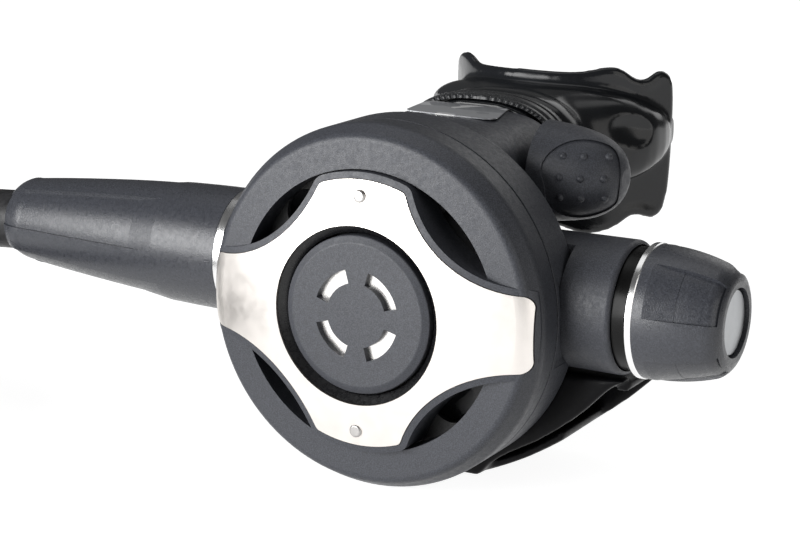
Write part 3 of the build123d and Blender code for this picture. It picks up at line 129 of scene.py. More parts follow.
# ---- the strap round the mouthpiece's collar, in mm
STRAP_HALF = (18.0, 11.1)     # the collar's half width and half height
STRAP_MIDDLE = 53.0           # behind the face
STRAP_STEPS = 240             # points round the strap
STRAP_TOOTH = 0.45            # how far a tooth stands out of the edge
STRAP_TOOTH_STEP = 3          # every third step has a tooth
STRAP_TOOTH_FLOOR = -0.6      # the strap's underside has none
STRAP_PROFILE = [             # behind the face, height over the collar, toothed or not
    (49.4, 0.05, False), (49.4, 0.7, True), (49.75, 1.0, False), (50.6, 1.05, False), (50.9, 0.7, False),
    (51.3, 0.7, False), (51.6, 1.25, False), (53.0, 1.3, False), (53.3, 0.8, False), (53.8, 0.8, False),
    (54.1, 1.25, False), (55.2, 1.2, False), (55.5, 0.85, False), (56.2, 0.95, False), (56.6, 0.7, True),
    (56.6, 0.05, False),
]
BUCKLE_BLOCKS = [             # middle (across, behind, above), half sizes
    ((-10.5, 53.0, -14.1), (5.6, 3.0, 1.3)), ((-5.4, 53.0, -13.2), (0.9, 2.6, 1.2)),
]

# ---- the exhaust tee: grid of its melted skin, in metres, and smoothing passes
TEE_VOXEL = 0.0006
TEE_TURNS = 14

# ---- the studio, in metres
LENS = 98.84                  # focal length, in mm
SENSOR = 36.0                 # width, in mm
CAMERA_PLACE = (0.20517, -0.40292, 0.14942)
CAMERA_RIGHT = (0.87973, 0.47504, 0.02030)
CAMERA_UP = (-0.12913, 0.19762, 0.97174)
CAMERA_AHEAD = (-0.45760, 0.85749, -0.23519)
LIGHTS_AIM = (-0.02, 0.0, 0.04)
LIGHTS = [                    # name, place, width and height, colour
    ("key", (-0.42, -0.70, 0.17), (0.7, 0.65), (1.0, 1.0, 1.0)),
    ("fill", (0.95, -0.3, 0.3), (0.7, 0.7), (1.0, 0.98, 0.95)),
    ("top", (-0.1, 0.25, 1.1), (1.0, 0.6), (1.0, 1.0, 1.0)),
    ("back", (0.1, 0.9, 0.5), (0.6, 0.6), (1.0, 1.0, 1.0)),
]
WORLD_LIGHT = 0.1             # light from all round
FLOOR_HALF = 3.0              # half the floor's width
FLOOR_GLOW = 0.92             # keeps the floor an even pale backdrop


# ---- sizes and colours that a user may change
class RegulatorSizes(bpy.types.PropertyGroup):
    hose_diameter: FloatProperty(
        name="Hose diameter", description="Outside diameter of the low-pressure hose",
        default=0.0135, min=0.008, max=0.02, unit="LENGTH")
    hose_length: FloatProperty(
        name="Hose length", description="Free length of the hose from its ferrule to the far ferrule",
        default=0.775, min=0.3, max=1.2, unit="LENGTH")
    coil_points: IntProperty(
        name="Points per turn", description="Control points on each turn of the put-away hose",
        default=16, min=12, max=32)
    grain: FloatProperty(
        name="Moulded grain", description="Size of the fine spark-eroded grain on the moulded plastic",
        default=0.0003, min=0.0001, max=0.001, unit="LENGTH")


class RegulatorColours(bpy.types.PropertyGroup):
    charcoal: FloatVectorProperty(
        name="Moulded plastic", description="Colour of the moulded housing, cover, knob and sleeve",
        subtype="COLOR", size=3, default=(0.048, 0.051, 0.061), min=0.0, max=1.0)
    rubber: FloatVectorProperty(
        name="Mouthpiece", description="Colour of the glossy silicone",
        subtype="COLOR", size=3, default=(0.010, 0.011, 0.013), min=0.0, max=1.0)
    steel: FloatVectorProperty(
        name="Face plate", description="Colour of the satin steel",
        subtype="COLOR", size=3, default=(0.84, 0.80, 0.76), min=0.0, max=1.0)
    floor: FloatVectorProperty(
        name="Floor", description="Colour of the studio floor",
        subtype="COLOR", size=3, default=(0.4, 0.4, 0.4), min=0.0, max=1.0)


class StudioLights(bpy.types.PropertyGroup):
    key: FloatProperty(
        name="Key light", description="Power of the large light at the front left",
        default=11.0, min=0.0, unit="POWER")
    fill: FloatProperty(
        name="Fill light", description="Power of the light at the right", default=1.8, min=0.0, unit="POWER")
    top: FloatProperty(
        name="Top light", description="Power of the light overhead", default=1.6, min=0.0, unit="POWER")
    back: FloatProperty(
        name="Back light", description="Power of the light behind", default=1.2, min=0.0, unit="POWER")


# ---- material tools
class Shader:
    """Builds one material's nodes on top of its Principled shader."""

    def __init__(self, name, colour, rough, metal=0.0, specular=0.5):
        self.material = bpy.data.materials.new(name)
        self.material.use_nodes = True
        self.nodes = self.material.node_tree.nodes
        self.links = self.material.node_tree.links
        self.principled = self.nodes["Principled BSDF"]
        self.set("Base Color", (*colour, 1.0))
        self.set("Roughness", rough)
        self.set("Metallic", metal)
        self.set("Specular IOR Level", specular)
        self.place = self.nodes.new("ShaderNodeTexCoord")
        self.normal = None

    def set(self, socket, value):
        self.principled.inputs[socket].default_value = value

    def join(self, source, target):
        self.links.new(source, target)

    def noise(self, size, detail=2.0, stretch=None):
        """Noise whose cells are about size metres across; stretch scales it along X, Y and Z."""
        node = self.nodes.new("ShaderNodeTexNoise")
        node.inputs["Scale"].default_value = 1.0 / size
        node.inputs["Detail"].default_value = detail
        source = self.place.outputs["Object"]
        if stretch:
            mapping = self.nodes.new("ShaderNodeMapping")
            mapping.inputs["Scale"].default_value = stretch
            self.join(source, mapping.inputs["Vector"])
            source = mapping.outputs["Vector"]
        self.join(source, node.inputs["Vector"])
        return node.outputs["Fac"]

    def ramp(self, source, stops):
        """A colour ramp from (position, colour) stops."""
        node = self.nodes.new("ShaderNodeValToRGB")
        ramp = node.color_ramp
        while len(ramp.elements) < len(stops):
            ramp.elements.new(0.5)
        for element, (position, colour) in zip(ramp.elements, stops):
            element.position = position
            element.color = (*colour, 1.0)
        self.join(source, node.inputs["Fac"])
        return node.outputs["Color"]

    def colour_by(self, source, stops):
        self.join(self.ramp(source, stops), self.principled.inputs["Base Color"])

    def rough_by(self, source, low, high):
        """Roughness from low to high over the middle of the noise."""
        node = self.nodes.new("ShaderNodeMapRange")
        node.inputs["From Min"].default_value = 0.35
        node.inputs["From Max"].default_value = 0.65
        node.inputs["To Min"].default_value = low
        node.inputs["To Max"].default_value = high
        self.join(source, node.inputs["Value"])
        self.join(node.outputs["Result"], self.principled.inputs["Roughness"])

    def bump(self, source, height):
        """Adds a bump of this height in metres over any bump before it."""
        node = self.nodes.new("ShaderNodeBump")
        node.inputs["Distance"].default_value = height
        self.join(source, node.inputs["Height"])
        if self.normal:
            self.join(self.normal, node.inputs["Normal"])
        self.normal = node.outputs["Normal"]
        self.join(self.normal, self.principled.inputs["Normal"])


def shades(colour, low, high):
    """A darker and a lighter shade of a colour."""
    return tuple(c * low for c in colour), tuple(c * high for c in colour)


def moulded(name, colour, rough, grain=0.0003, height=0.00003, specular=0.45):
    """Glass-filled nylon with a fine spark-eroded grain."""
    shader = Shader(name, colour, rough, specular=specular)
    dark, light = shades(colour, 0.72, 1.4)
    speck = shader.noise(grain * 0.8, 1.0)
    shader.colour_by(speck, [(0.34, dark), (0.5, colour), (0.66, light)])
    shader.rough_by(shader.noise(grain * 3.0, 2.0), rough - 0.07, rough + 0.07)
    shader.bump(shader.noise(grain * 0.8, 1.0), height)
    return shader.material


def satin_steel(name, colour, rough):
    """Bead-blasted stainless steel with faint cloudiness."""
    shader = Shader(name, colour, rough, metal=1.0)
    dark, light = shades(colour, 0.97, 1.02)
    shader.colour_by(shader.noise(0.004, 2.0), [(0.3, dark), (0.7, light)])
    shader.rough_by(shader.noise(0.003, 2.0), rough - 0.03, rough + 0.04)
    shader.bump(shader.noise(0.0009, 1.0), 0.000002)
    return shader.material


def bright_metal(name, colour, rough, turned=None):
    """Chrome-plated brass; turned stretches its fine tool marks round an axis."""
    shader = Shader(name, colour, rough, metal=1.0)
    shader.rough_by(shader.noise(0.0008, 2.0, stretch=turned), rough - 0.04, rough + 0.08)
    shader.bump(shader.noise(0.0003, 2.0, stretch=turned), 0.000003)
    return shader.material


def soft_rubber(name, colour, rough, specular=0.5, grain=0.002, height=0.00001):
    """Silicone or rubber with a gently uneven skin."""
    shader = Shader(name, colour, rough, specular=specular)
    dark, light = shades(colour, 0.85, 1.25)
    shader.colour_by(shader.noise(grain * 3.0, 2.0), [(0.35, dark), (0.65, light)])
    shader.rough_by(shader.noise(grain * 2.0, 2.0), rough - 0.04, rough + 0.06)
    shader.bump(shader.noise(grain, 2.0), height)
    return shader.material


def hose_rubber(name):
    """Extruded rubber with a fine uneven skin."""
    shader = Shader(name, (0.018, 0.018, 0.019), 0.5, specular=0.4)
    dark, light = (0.013, 0.013, 0.014), (0.026, 0.026, 0.028)
    shader.colour_by(shader.noise(0.0012, 3.0), [(0.35, dark), (0.65, light)])
    shader.rough_by(shader.noise(0.002, 2.0), 0.42, 0.58)
    shader.bump(shader.noise(0.0006, 2.0), 0.00004)
    return shader.material


def label_film(name):
    """Silver foil with a generic pattern of pale wedges."""
    shader = Shader(name, (0.75, 0.77, 0.8), 0.3, metal=0.35)
    cells = shader.nodes.new("ShaderNodeTexVoronoi")
    cells.feature = "F1"
    cells.distance = "MANHATTAN"
    cells.inputs["Scale"].default_value = 230.0
    cells.inputs["Randomness"].default_value = 0.8
    mapping = shader.nodes.new("ShaderNodeMapping")
    mapping.inputs["Rotation"].default_value = (0.0, 0.0, math.radians(24.0))
    mapping.inputs["Scale"].default_value = (0.55, 1.0, 1.0)
    shader.join(shader.place.outputs["Object"], mapping.inputs["Vector"])
    shader.join(mapping.outputs["Vector"], cells.inputs["Vector"])
    split = shader.nodes.new("ShaderNodeSeparateColor")
    shader.join(cells.outputs["Color"], split.inputs["Color"])
    greys = [
        (0.0, (0.36, 0.37, 0.39)),
        (0.4, (0.5, 0.51, 0.53)),
        (0.62, (0.8, 0.81, 0.83)),
        (0.82, (1.0, 1.0, 1.0)),
    ]
    ramp = shader.ramp(split.outputs["Red"], greys)
    ramp.node.color_ramp.interpolation = "CONSTANT"
    shader.join(ramp, shader.principled.inputs["Base Color"])
    shader.bump(shader.noise(0.0005, 1.0), 0.000004)
    return shader.material


def studio_floor(name, colour):
    """Pale paper that glows a little, so it stays even all over."""
    shader = Shader(name, colour, 0.9, specular=0.0)
    dark, light = shades(colour, 0.995, 1.0)
    shader.colour_by(shader.noise(0.4, 1.0), [(0.3, dark), (0.7, light)])
    shader.set("Emission Color", (1.0, 1.0, 1.0, 1.0))
    shader.set("Emission Strength", FLOOR_GLOW)
    return shader.material


# ---- mesh tools
def new_piece(name, mesh, material, body, replaces=()):
    """Links one mesh or curve, gives it its finish and lets it ride on its body."""
    piece = bpy.data.objects.new(name, mesh)
    bpy.context.scene.collection.objects.link(piece)
    mesh.materials.clear()
    mesh.materials.append(material)
    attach(piece, body)
    if replaces:
        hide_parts(*replaces)
    return piece


def mesh_from(name, points, faces, smooth=True):
    """A mesh from a list of points and a list of faces."""
    mesh = bpy.data.meshes.new(name)
    mesh.from_pydata(points, [], faces)
    mesh.polygons.foreach_set("use_smooth", [smooth] * len(mesh.polygons))
    mesh.update()
    return mesh


def dress(material, *names):
    """Gives carried-over CAD nodes their finish."""
    for name in names:
        mesh = NODES[name].data
        mesh.materials.clear()
        mesh.materials.append(material)


def smooth_loop(corners, steps):
    """A closed smooth line through the corners (Catmull-Rom)."""
    line = []
    count = len(corners)
    for index in range(count):
        p0, p1, p2, p3 = (Vector(corners[(index + shift) % count]) for shift in (-1, 0, 1, 2))
        for step in range(steps):
            t = step / steps
            bend = 2 * p0 - 5 * p1 + 4 * p2 - p3
            twist = 3 * p1 - p0 - 3 * p2 + p3
            line.append(0.5 * (2 * p1 + (p2 - p0) * t + bend * t * t + twist * t ** 3))
    return line


def on_band(point, offset):
    """A point (across, up) in mm on the mouthpiece's curved band; offset in metres is outward."""
    radius = BAND_SWEEP_R * MM - BAND_T * MM / 2 + offset
    turn = math.asin(max(-0.98, min(0.98, point.x / (BAND_SWEEP_R - BAND_T / 2))))
    centre_y = FACE_Y + (BAND_MIDDLE + BAND_SWEEP_R) * MM
    return Vector((radius * math.sin(turn), centre_y - radius * math.cos(turn), MOUTH_Z + point.y * MM))


def oval_point(turn, half_x, half_z, back, square=2.4):
    """A point of a softly squared oval about the mouthpiece's axis; sizes in mm."""
    across, up = math.cos(turn), math.sin(turn)
    x = math.copysign(abs(across) ** (2 / square) * half_x, across)
    z = math.copysign(abs(up) ** (2 / square) * half_z, up)
    return Vector((x * MM, FACE_Y + back * MM, MOUTH_Z + z * MM))


def oval_ring(back, half_x, half_z, square=2.4, steps=96):
    """A ring of points of one oval."""
    return [oval_point(math.tau * step / steps, half_x, half_z, back, square) for step in range(steps)]


def loft_rings(rings, closed=False):
    """Faces between rings of equal length; the ends are capped unless the loft closes on itself."""
    count = len(rings[0])
    points = [point for ring in rings for point in ring]
    faces = []
    for index in range(len(rings) - (0 if closed else 1)):
        low, high = index * count, (index + 1) % len(rings) * count
        for step in range(count):
            after = (step + 1) % count
            faces.append((low + step, high + step, high + after, low + after))
    if not closed:
        faces.append(tuple(range(count)))
        faces.append(tuple(reversed(range((len(rings) - 1) * count, len(rings) * count))))
    return points, faces


def tube_round(line, radius, sides):
    """A round tube along a closed line of points."""
    rings = []
    count = len(line)
    for index, place in enumerate(line):
        before, after = line[index - 1], line[(index + 1) % count]
        along = (after - before).normalized()
        across = along.cross(Vector((0.3, -1.0, 0.1))).normalized()
        up = along.cross(across).normalized()
        turns = [math.tau * side / sides for side in range(sides)]
        rings.append([place + (across * math.cos(turn) + up * math.sin(turn)) * radius for turn in turns])
    return loft_rings(rings, closed=True)


def rounded_bar(middle, halves, along=(1.0, 0.0, 0.0), out=(0.0, 1.0, 0.0), power=4.0):
    """A pillow-shaped block, in mm; its middle is across, behind the face and above the mouthpiece's axis."""
    tall, round_steps = 16, 32
    first = Vector(along).normalized()
    third = first.cross(Vector(out)).normalized()
    spin = Matrix((first, third.cross(first), third)).transposed()
    rings = []
    for level in range(1, tall):
        lean = -math.pi / 2 + math.pi * level / tall
        flat, high = math.cos(lean), math.sin(lean)
        ring = []
        for step in range(round_steps):
            angle = math.tau * step / round_steps
            parts = (flat * math.cos(angle), flat * math.sin(angle), high)
            reach = sum(abs(part) ** power for part in parts) ** (-1 / power)
            local = spin @ Vector([part * reach * half for part, half in zip(parts, halves)])
            across, behind, above = (start + move for start, move in zip(middle, local))
            ring.append(Vector((across * MM, FACE_Y + behind * MM, MOUTH_Z + above * MM)))
        rings.append(ring)
    return loft_rings(rings)


def join_lists(shapes):
    """The points and faces of several shapes as one list each."""
    points, faces = [], []
    for more_points, more_faces in shapes:
        start = len(points)
        points.extend(more_points)
        faces.extend(tuple(start + index for index in face) for face in more_faces)
    return points, faces


def join_shapes(name, shapes):
    """Several closed shapes as one working object."""
    mesh = mesh_from(name, *join_lists(shapes))
    work = bmesh.new()
    work.from_mesh(mesh)
    bmesh.ops.recalc_face_normals(work, faces=work.faces)
    work.to_mesh(mesh)
    work.free()
    holder = bpy.data.objects.new(name, mesh)
    bpy.context.scene.collection.objects.link(holder)
    return holder


def melt(body, cutter, voxel, turns):
    """Melts overlapping shapes into one skin, cuts its hollows and rounds every edge over."""

    def remesh():
        even = body.modifiers.new("even", "REMESH")
        even.mode = "VOXEL"
        even.voxel_size = voxel

    remesh()
    if cutter:
        cut = body.modifiers.new("cut", "BOOLEAN")
        cut.operation = "DIFFERENCE"
        cut.solver = "EXACT"
        cut.use_self = True
        cut.object = cutter
        remesh()
    relax = body.modifiers.new("relax", "SMOOTH")
    relax.factor = 0.5
    relax.iterations = turns
    graph = bpy.context.evaluated_depsgraph_get()
    mesh = bpy.data.meshes.new_from_object(body.evaluated_get(graph))
    for work in (body, cutter):
        if work:
            data = work.data
            bpy.data.objects.remove(work)
            bpy.data.meshes.remove(data)
    mesh.polygons.foreach_set("use_smooth", [True] * len(mesh.polygons))
    return mesh


def crisp(piece, width):
    """Breaks a piece's hard edges with a small bevel."""
    bevel = piece.modifiers.new("edge break", "BEVEL")
    bevel.width = width
    bevel.segments = 2
    bevel.limit_method = "ANGLE"
    bevel.angle_limit = math.radians(30.0)
    piece.data.polygons.foreach_set("use_smooth", [True] * len(piece.data.polygons))
    bevel.harden_normals = True


# ---- operators, one for each piece or group of like pieces
class REGULATOR_OT_stage(bpy.types.Operator):
    """Makes the camera, the pale floor and the soft studio lights"""
    bl_idname = "regulator.stage"
    bl_label = "Studio"

    def camera(self, scene):
        lens = bpy.data.cameras.new("camera")
        lens.sensor_width = SENSOR
        lens.lens = LENS
        lens.clip_start = 0.01
        lens.clip_end = 20.0
        camera = bpy.data.objects.new("camera", lens)
        back = [-part for part in CAMERA_AHEAD]
        rows = [list(row) for row in zip(CAMERA_RIGHT, CAMERA_UP, back, CAMERA_PLACE)]
        camera.matrix_world = Matrix((*rows, (0.0, 0.0, 0.0, 1.0)))
        scene.collection.objects.link(camera)
        scene.camera = camera

    def light(self, scene, name, place, size, colour):
        lamp = bpy.data.lights.new(name, "AREA")
        lamp.shape = "RECTANGLE"
        lamp.size, lamp.size_y = size
        lamp.energy = getattr(scene.regulator_lights, name)
        lamp.color = colour
        holder = bpy.data.objects.new(name, lamp)
        holder.location = place
        holder.rotation_euler = (Vector(LIGHTS_AIM) - Vector(place)).to_track_quat("-Z", "Y").to_euler()
        scene.collection.objects.link(holder)

    def world(self, scene):
        world = bpy.data.worlds.new("studio")
        world.use_nodes = True
        background = world.node_tree.nodes["Background"]
        background.inputs["Color"].default_value = (1.0, 1.0, 1.0, 1.0)
        background.inputs["Strength"].default_value = WORLD_LIGHT
        scene.world = world

    def floor(self, scene):
        half = FLOOR_HALF
        corners = [(-half, -half, 0), (half, -half, 0), (half, half, 0), (-half, half, 0)]
        mesh = mesh_from("floor", corners, [(0, 1, 2, 3)])
        mesh.materials.append(studio_floor("floor paper", tuple(scene.regulator_colours.floor)))
        floor = bpy.data.objects.new("floor", mesh)
        scene.collection.objects.link(floor)
        floor.visible_diffuse = False
        floor.visible_shadow = False

    def execute(self, context):
        scene = context.scene
        scene.view_settings.view_transform = "Standard"
        self.camera(scene)
        self.world(scene)
        for light in LIGHTS:
            self.light(scene, *light)
        self.floor(scene)
        return {"FINISHED"}


class REGULATOR_OT_hose(bpy.types.Operator):
    """Runs the hose out of its sleeve, down and round its coil to the far fitting"""
    bl_idname = "regulator.hose"
    bl_label = "Hose"

    def height(self, turn):
        """The hose's height at an angle of the coil, in degrees."""
        start = HOSE_START[-1][2]
        if turn < COIL_LEVEL:
            return start + (COIL_HIGH - start) * ((turn - COIL_START) / (COIL_LEVEL - COIL_START))
        if turn < COIL_DROP:
            return COIL_HIGH
        if turn < COIL_FLOOR:
            share = (turn - COIL_DROP) / (COIL_FLOOR - COIL_DROP)
            return COIL_HIGH + (COIL_LOW - COIL_HIGH) * share * share * (3.0 - 2.0 * share)
        return COIL_LOW

    def route(self, per_turn):
        """The hose's own points: listed, with the coil's turns by a loop."""
        points = list(HOSE_START)
        middle_x, middle_y = COIL_MIDDLE
        steps = int(per_turn * COIL_SWEEP / 360.0)
        for step in range(1, steps):
            turn = COIL_START + COIL_SWEEP * step / steps
            angle = math.radians(turn)
            x, y = middle_x + COIL_R * math.cos(angle), middle_y + COIL_R * math.sin(angle)
            points.append((x, y, self.height(turn)))
        points.append((middle_x, middle_y - COIL_R, COIL_LOW))
        return points + HOSE_TAIL

    def execute(self, context):
        sizes = context.scene.regulator_sizes
        curve = bpy.data.curves.new("hose_line", "CURVE")
        curve.dimensions = "3D"
        spline = curve.splines.new("NURBS")
        points = self.route(sizes.coil_points)
        spline.points.add(len(points) - 1)
        for point, place in zip(spline.points, points):
            point.co = (*place, 1.0)
        spline.order_u = 3
        spline.use_endpoint_u = True
        spline.resolution_u = 8
        curve.bevel_depth = sizes.hose_diameter / 2
        curve.bevel_resolution = 8
        curve.use_fill_caps = True
        rubber = hose_rubber("hose rubber")
        lengths = ("hose", "hose_coil", "hose_tail")
        hose = new_piece("hose_line", curve, rubber, "regulator", lengths)
        return {"FINISHED"}


class REGULATOR_OT_moulded(bpy.types.Operator):
    """Gives the cover, case, lever, knob and sleeve their grained charcoal plastic"""
    bl_idname = "regulator.moulded"
    bl_label = "Moulded housing"

    def execute(self, context):
        colours = context.scene.regulator_colours
        grain = context.scene.regulator_sizes.grain
        charcoal = tuple(colours.charcoal)
        dress(moulded("cover charcoal", charcoal, 0.46, grain), "cover")
        dress(moulded("case charcoal", charcoal, 0.5, grain), "case")
        dress(moulded("lever charcoal", charcoal, 0.5, grain), "airflow_lever")
        dress(moulded("knob charcoal", charcoal, 0.33, grain, 0.00004, 0.55), "knob")
        dress(moulded("sleeve charcoal", charcoal, 0.31, grain, 0.00004, 0.6), "hose_sleeve")
        dress(moulded("button charcoal", charcoal, 0.5, grain * 0.8), "purge_button")
        dress(moulded("bezel black", (0.006, 0.006, 0.007), 0.3, grain * 0.8), "purge_bezel")
        dress(soft_rubber("collar black", (0.003, 0.003, 0.003), 0.3, specular=0.2), "knob_collar")
        return {"FINISHED"}


class REGULATOR_OT_metal(bpy.types.Operator):
    """Gives the face plate, rings, rivets and label their metal"""
    bl_idname = "regulator.metal"
    bl_label = "Steel and chrome"

    def execute(self, context):
        steel = tuple(context.scene.regulator_colours.steel)
        dress(satin_steel("face plate steel", steel, 0.36), "face_plate")
        dress(satin_steel("rivet steel", (0.42, 0.41, 0.40), 0.3), "plate_rivet_top", "plate_rivet_bottom")
        dress(satin_steel("inlay steel", (0.88, 0.86, 0.84), 0.25), "purge_inlay")
        dress(satin_steel("ring chrome", (0.93, 0.93, 0.93), 0.2), "knob_ring", "sleeve_ring")
        dress(satin_steel("knob cap metal", (0.44, 0.45, 0.46), 0.4), "knob_cap")
        dress(label_film("label foil"), "case_label")
        return {"FINISHED"}


class REGULATOR_OT_inside(bpy.types.Operator):
    """Gives the valve, diaphragm and hose fittings inside their finishes"""
    bl_idname = "regulator.inside"
    bl_label = "Working parts"

    def execute(self, context):
        brass = bright_metal("plated brass", (0.78, 0.77, 0.75), 0.2, (12.0, 1.0, 1.0))
        dress(
            brass, "valve_barrel", "orifice", "adjust_bush", "hose_nut", "hose_stem", "hose_ferrule",
            "end_ferrule", "end_fitting")
        lever_steel = bright_metal("spring steel", (0.6, 0.6, 0.6), 0.26)
        dress(lever_steel, "demand_lever", "adjust_screw", "diaphragm_disc")
        dress(
            moulded("guard black", (0.010, 0.010, 0.011), 0.4), "diaphragm_guard", "slip_ring", "purge_hub",
            "exhaust_spider", "airflow_vane", "poppet", "thrust_pad")
        silicone = soft_rubber("diaphragm silicone", (0.05, 0.052, 0.056), 0.3)
        dress(silicone, "diaphragm", "exhaust_valve", "poppet_seat")
        dress(
            soft_rubber("seal rubber", (0.01, 0.01, 0.01), 0.22), "orifice_o_ring", "packing_o_ring",
            "airflow_o_ring", "hose_o_ring", "end_o_ring")
        dress(soft_rubber("relief rubber", (0.016, 0.016, 0.017), 0.42), "end_relief")
        return {"FINISHED"}


class REGULATOR_OT_springs(bpy.types.Operator):
    """Makes the purge spring and the valve spring; the valve spring is cut in two at the share of the
    poppet's and the adjuster's travels
    """
    bl_idname = "regulator.springs"
    bl_label = "Springs"

    def length_of(self, node, axis):
        """A node's two ends along an axis, in metres."""
        along = [vertex.co[axis] for vertex in NODES[node].data.vertices]
        return min(along), max(along)

    def half(self, name, node, cut, side):
        """The part of a spring on one side of a plane across X."""
        mesh = NODES[node].data.copy()
        mesh.name = name
        work = bmesh.new()
        work.from_mesh(mesh)
        geometry = work.verts[:] + work.edges[:] + work.faces[:]
        bmesh.ops.bisect_plane(
            work, geom=geometry, plane_co=(cut, 0, 0), plane_no=(side, 0, 0), clear_inner=True)
        bmesh.ops.holes_fill(work, edges=[edge for edge in work.edges if edge.is_boundary], sides=0)
        work.to_mesh(mesh)
        work.free()
        return mesh

    def execute(self, context):
        steel = bright_metal("spring wire", (0.6, 0.6, 0.6), 0.26)
        mesh = NODES["purge_spring"].data.copy()
        piece = new_piece("purge_spring_wire", mesh, steel, "regulator", ("purge_spring",))
        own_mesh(piece)
        left, right = self.length_of("valve_spring", 0)
        cut = left + (right - left) * (POPPET_TRAVEL / (POPPET_TRAVEL + SCREW_TRAVEL))
        ends = (
            ("valve_spring_near", -1, ("valve_spring",), "poppet_travel", POPPET_TRAVEL, cut - left),
            ("valve_spring_far", 1, (), "adjuster_travel", SCREW_TRAVEL, right - cut),
        )
        for name, side, replaced, joint, travel, long in ends:
            half = self.half(name, "valve_spring", cut, side)
            piece = new_piece(name, half, steel, "regulator", replaced)
            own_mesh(piece)
        return {"FINISHED"}


class REGULATOR_OT_mouthpiece(bpy.types.Operator):
    """Makes the glossy silicone mouthpiece: collar, funnel, scalloped band and bite tabs"""
    bl_idname = "regulator.mouthpiece"
    bl_label = "Mouthpiece"

    def band(self, outline):
        """The band round the teeth: a curved wall, whose square edge the roll rounds over."""
        shares = (0.25, 0.5, 0.75, 1.0)
        wall = BAND_T * MM / 2
        count = len(outline)
        points, faces = [], []
        for outer, offset in enumerate((-wall, wall)):
            centre = len(points)
            points.append(on_band(Vector((0.0, 0.0)), offset))
            for share in shares:
                points.extend(on_band(corner * share, offset) for corner in outline)
            for step in range(count):
                after = (step + 1) % count
                fan = (centre, centre + 1 + step, centre + 1 + after)
                faces.append(fan if outer else (fan[0], fan[2], fan[1]))
                for ring in range(len(shares) - 1):
                    low = centre + 1 + ring * count
                    quad = (low + step, low + count + step, low + count + after, low + after)
                    faces.append(quad if outer else quad[::-1])
        last_ring = 1 + (len(shares) - 1) * count
        front, back = last_ring, 1 + len(shares) * count + last_ring
        for step in range(count):
            after = (step + 1) % count
            faces.append((front + after, back + after, back + step, front + step))
        return points, faces

    def execute(self, context):
        outline = smooth_loop(BAND_EDGE, 6)
        roll = [on_band(corner, 0.0) for corner in outline]
        shapes = [
            self.band(outline),
            tube_round(roll, BAND_ROLL * MM, 10),
            loft_rings([oval_ring(*ring) for ring in FUNNEL_RINGS]),
        ]
        for side in (-1, 1):
            for (across, behind, above), halves in BITE_BLOCKS:
                shapes.append(rounded_bar((side * across, behind, above), halves))
        cuts = [
            loft_rings([oval_ring(back, *AIRWAY_HALF) for back in AIRWAY_BACKS]),
            loft_rings([oval_ring(back, *SOCKET_HALF) for back in SOCKET_BACKS]),
        ]
        for side in (-1, 1):
            middle, along, out = (
                (side * across, behind, above)
                for across, behind, above in (POCKET_MIDDLE, POCKET_ALONG, POCKET_OUT))
            cuts.append(rounded_bar(middle, POCKET_HALVES, along, out, POCKET_POWER))
        body, cutter = join_shapes("mouthpiece_work", shapes), join_shapes("mouthpiece_cut", cuts)
        mesh = melt(body, cutter, MOUTH_VOXEL, MOUTH_TURNS)
        mesh.name = "mouthpiece_silicone"
        colour = tuple(context.scene.regulator_colours.rubber)
        silicone = soft_rubber("mouthpiece silicone", colour, 0.2, specular=0.42, grain=0.004)
        new_piece("mouthpiece_silicone", mesh, silicone, "regulator", ("mouthpiece",))
        return {"FINISHED"}


class REGULATOR_OT_strap(bpy.types.Operator):
    """Makes the mouthpiece's reusable strap, with its ridges, serrated edge and buckle"""
    bl_idname = "regulator.strap"
    bl_label = "Mouthpiece strap"

    def execute(self, context):
        half_x, half_z = STRAP_HALF
        rings = []
        for back, stand, teeth in STRAP_PROFILE:
            ring = []
            for step in range(STRAP_STEPS):
                turn = math.tau * step / STRAP_STEPS
                toothed = teeth and step % STRAP_TOOTH_STEP == 0 and math.sin(turn) > STRAP_TOOTH_FLOOR
                bite = math.copysign(STRAP_TOOTH, STRAP_MIDDLE - back) if toothed else 0.0
                ring.append(oval_point(turn, half_x + stand, half_z + stand, back + bite))
            rings.append(ring)
        mesh = mesh_from("strap_band", *loft_rings(rings, closed=True), smooth=False)
        black = moulded("strap black", (0.020, 0.021, 0.023), 0.3, height=0.00002)
        band = new_piece("strap_band", mesh, black, "regulator", ("mouthpiece_clamp",))
        crisp(band, 0.00012)
        blocks = [rounded_bar(middle, halves) for middle, halves in BUCKLE_BLOCKS]
        buckle = mesh_from("strap_buckle", *join_lists(blocks))
        new_piece("strap_buckle", buckle, black, "regulator")
        return {"FINISHED"}


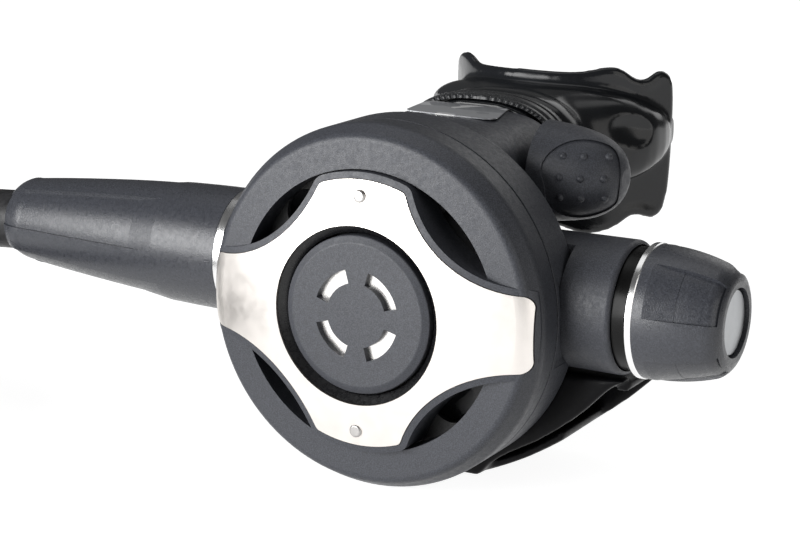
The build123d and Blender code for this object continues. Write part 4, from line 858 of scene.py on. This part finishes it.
class REGULATOR_OT_exhaust(bpy.types.Operator):
    """Makes the soft exhaust tee under the case"""
    bl_idname = "regulator.exhaust"
    bl_label = "Exhaust tee"

    def execute(self, context):
        body = bpy.data.objects.new("tee_work", NODES["exhaust_tee"].data.copy())
        context.scene.collection.objects.link(body)
        mesh = melt(body, None, TEE_VOXEL, TEE_TURNS)
        mesh.name = "tee_moulding"
        # Near-black colour: partly the tee's own black rubber, partly painted shade for the shadow it sits in
        # under the cover.
        rubber = soft_rubber(
            "tee rubber", (0.004, 0.004, 0.005), 0.36, specular=0.12, grain=0.0006, height=0.000004)
        new_piece("tee_moulding", mesh, rubber, "regulator", ("exhaust_tee",))
        return {"FINISHED"}


OPERATORS = (
    REGULATOR_OT_stage,
    REGULATOR_OT_hose,
    REGULATOR_OT_moulded,
    REGULATOR_OT_metal,
    REGULATOR_OT_inside,
    REGULATOR_OT_springs,
    REGULATOR_OT_mouthpiece,
    REGULATOR_OT_strap,
    REGULATOR_OT_exhaust,
)


class REGULATOR_PT_panel(bpy.types.Panel):
    """Lists the regulator's pieces and settings"""
    bl_label = "Regulator"
    bl_idname = "REGULATOR_PT_panel"
    bl_space_type = "VIEW_3D"
    bl_region_type = "UI"
    bl_category = "Regulator"

    def draw(self, context):
        for group in ("regulator_sizes", "regulator_colours", "regulator_lights"):
            settings = getattr(context.scene, group)
            for name in settings.bl_rna.properties.keys():
                if name not in ("rna_type", "name"):
                    self.layout.prop(settings, name)
        for operator in OPERATORS:
            self.layout.operator(operator.bl_idname)


CLASSES = (RegulatorSizes, RegulatorColours, StudioLights, *OPERATORS, REGULATOR_PT_panel)


def register():
    for cls in CLASSES:
        bpy.utils.register_class(cls)
    bpy.types.Scene.regulator_sizes = PointerProperty(type=RegulatorSizes)
    bpy.types.Scene.regulator_colours = PointerProperty(type=RegulatorColours)
    bpy.types.Scene.regulator_lights = PointerProperty(type=StudioLights)


def unregister():
    for name in ("regulator_sizes", "regulator_colours", "regulator_lights"):
        delattr(bpy.types.Scene, name)
    for cls in reversed(CLASSES):
        bpy.utils.unregister_class(cls)


def main():
    register()
    for operator in OPERATORS:
        group, name = operator.bl_idname.split(".")
        getattr(getattr(bpy.ops, group), name)()


if __name__ == "__main__":
    main()
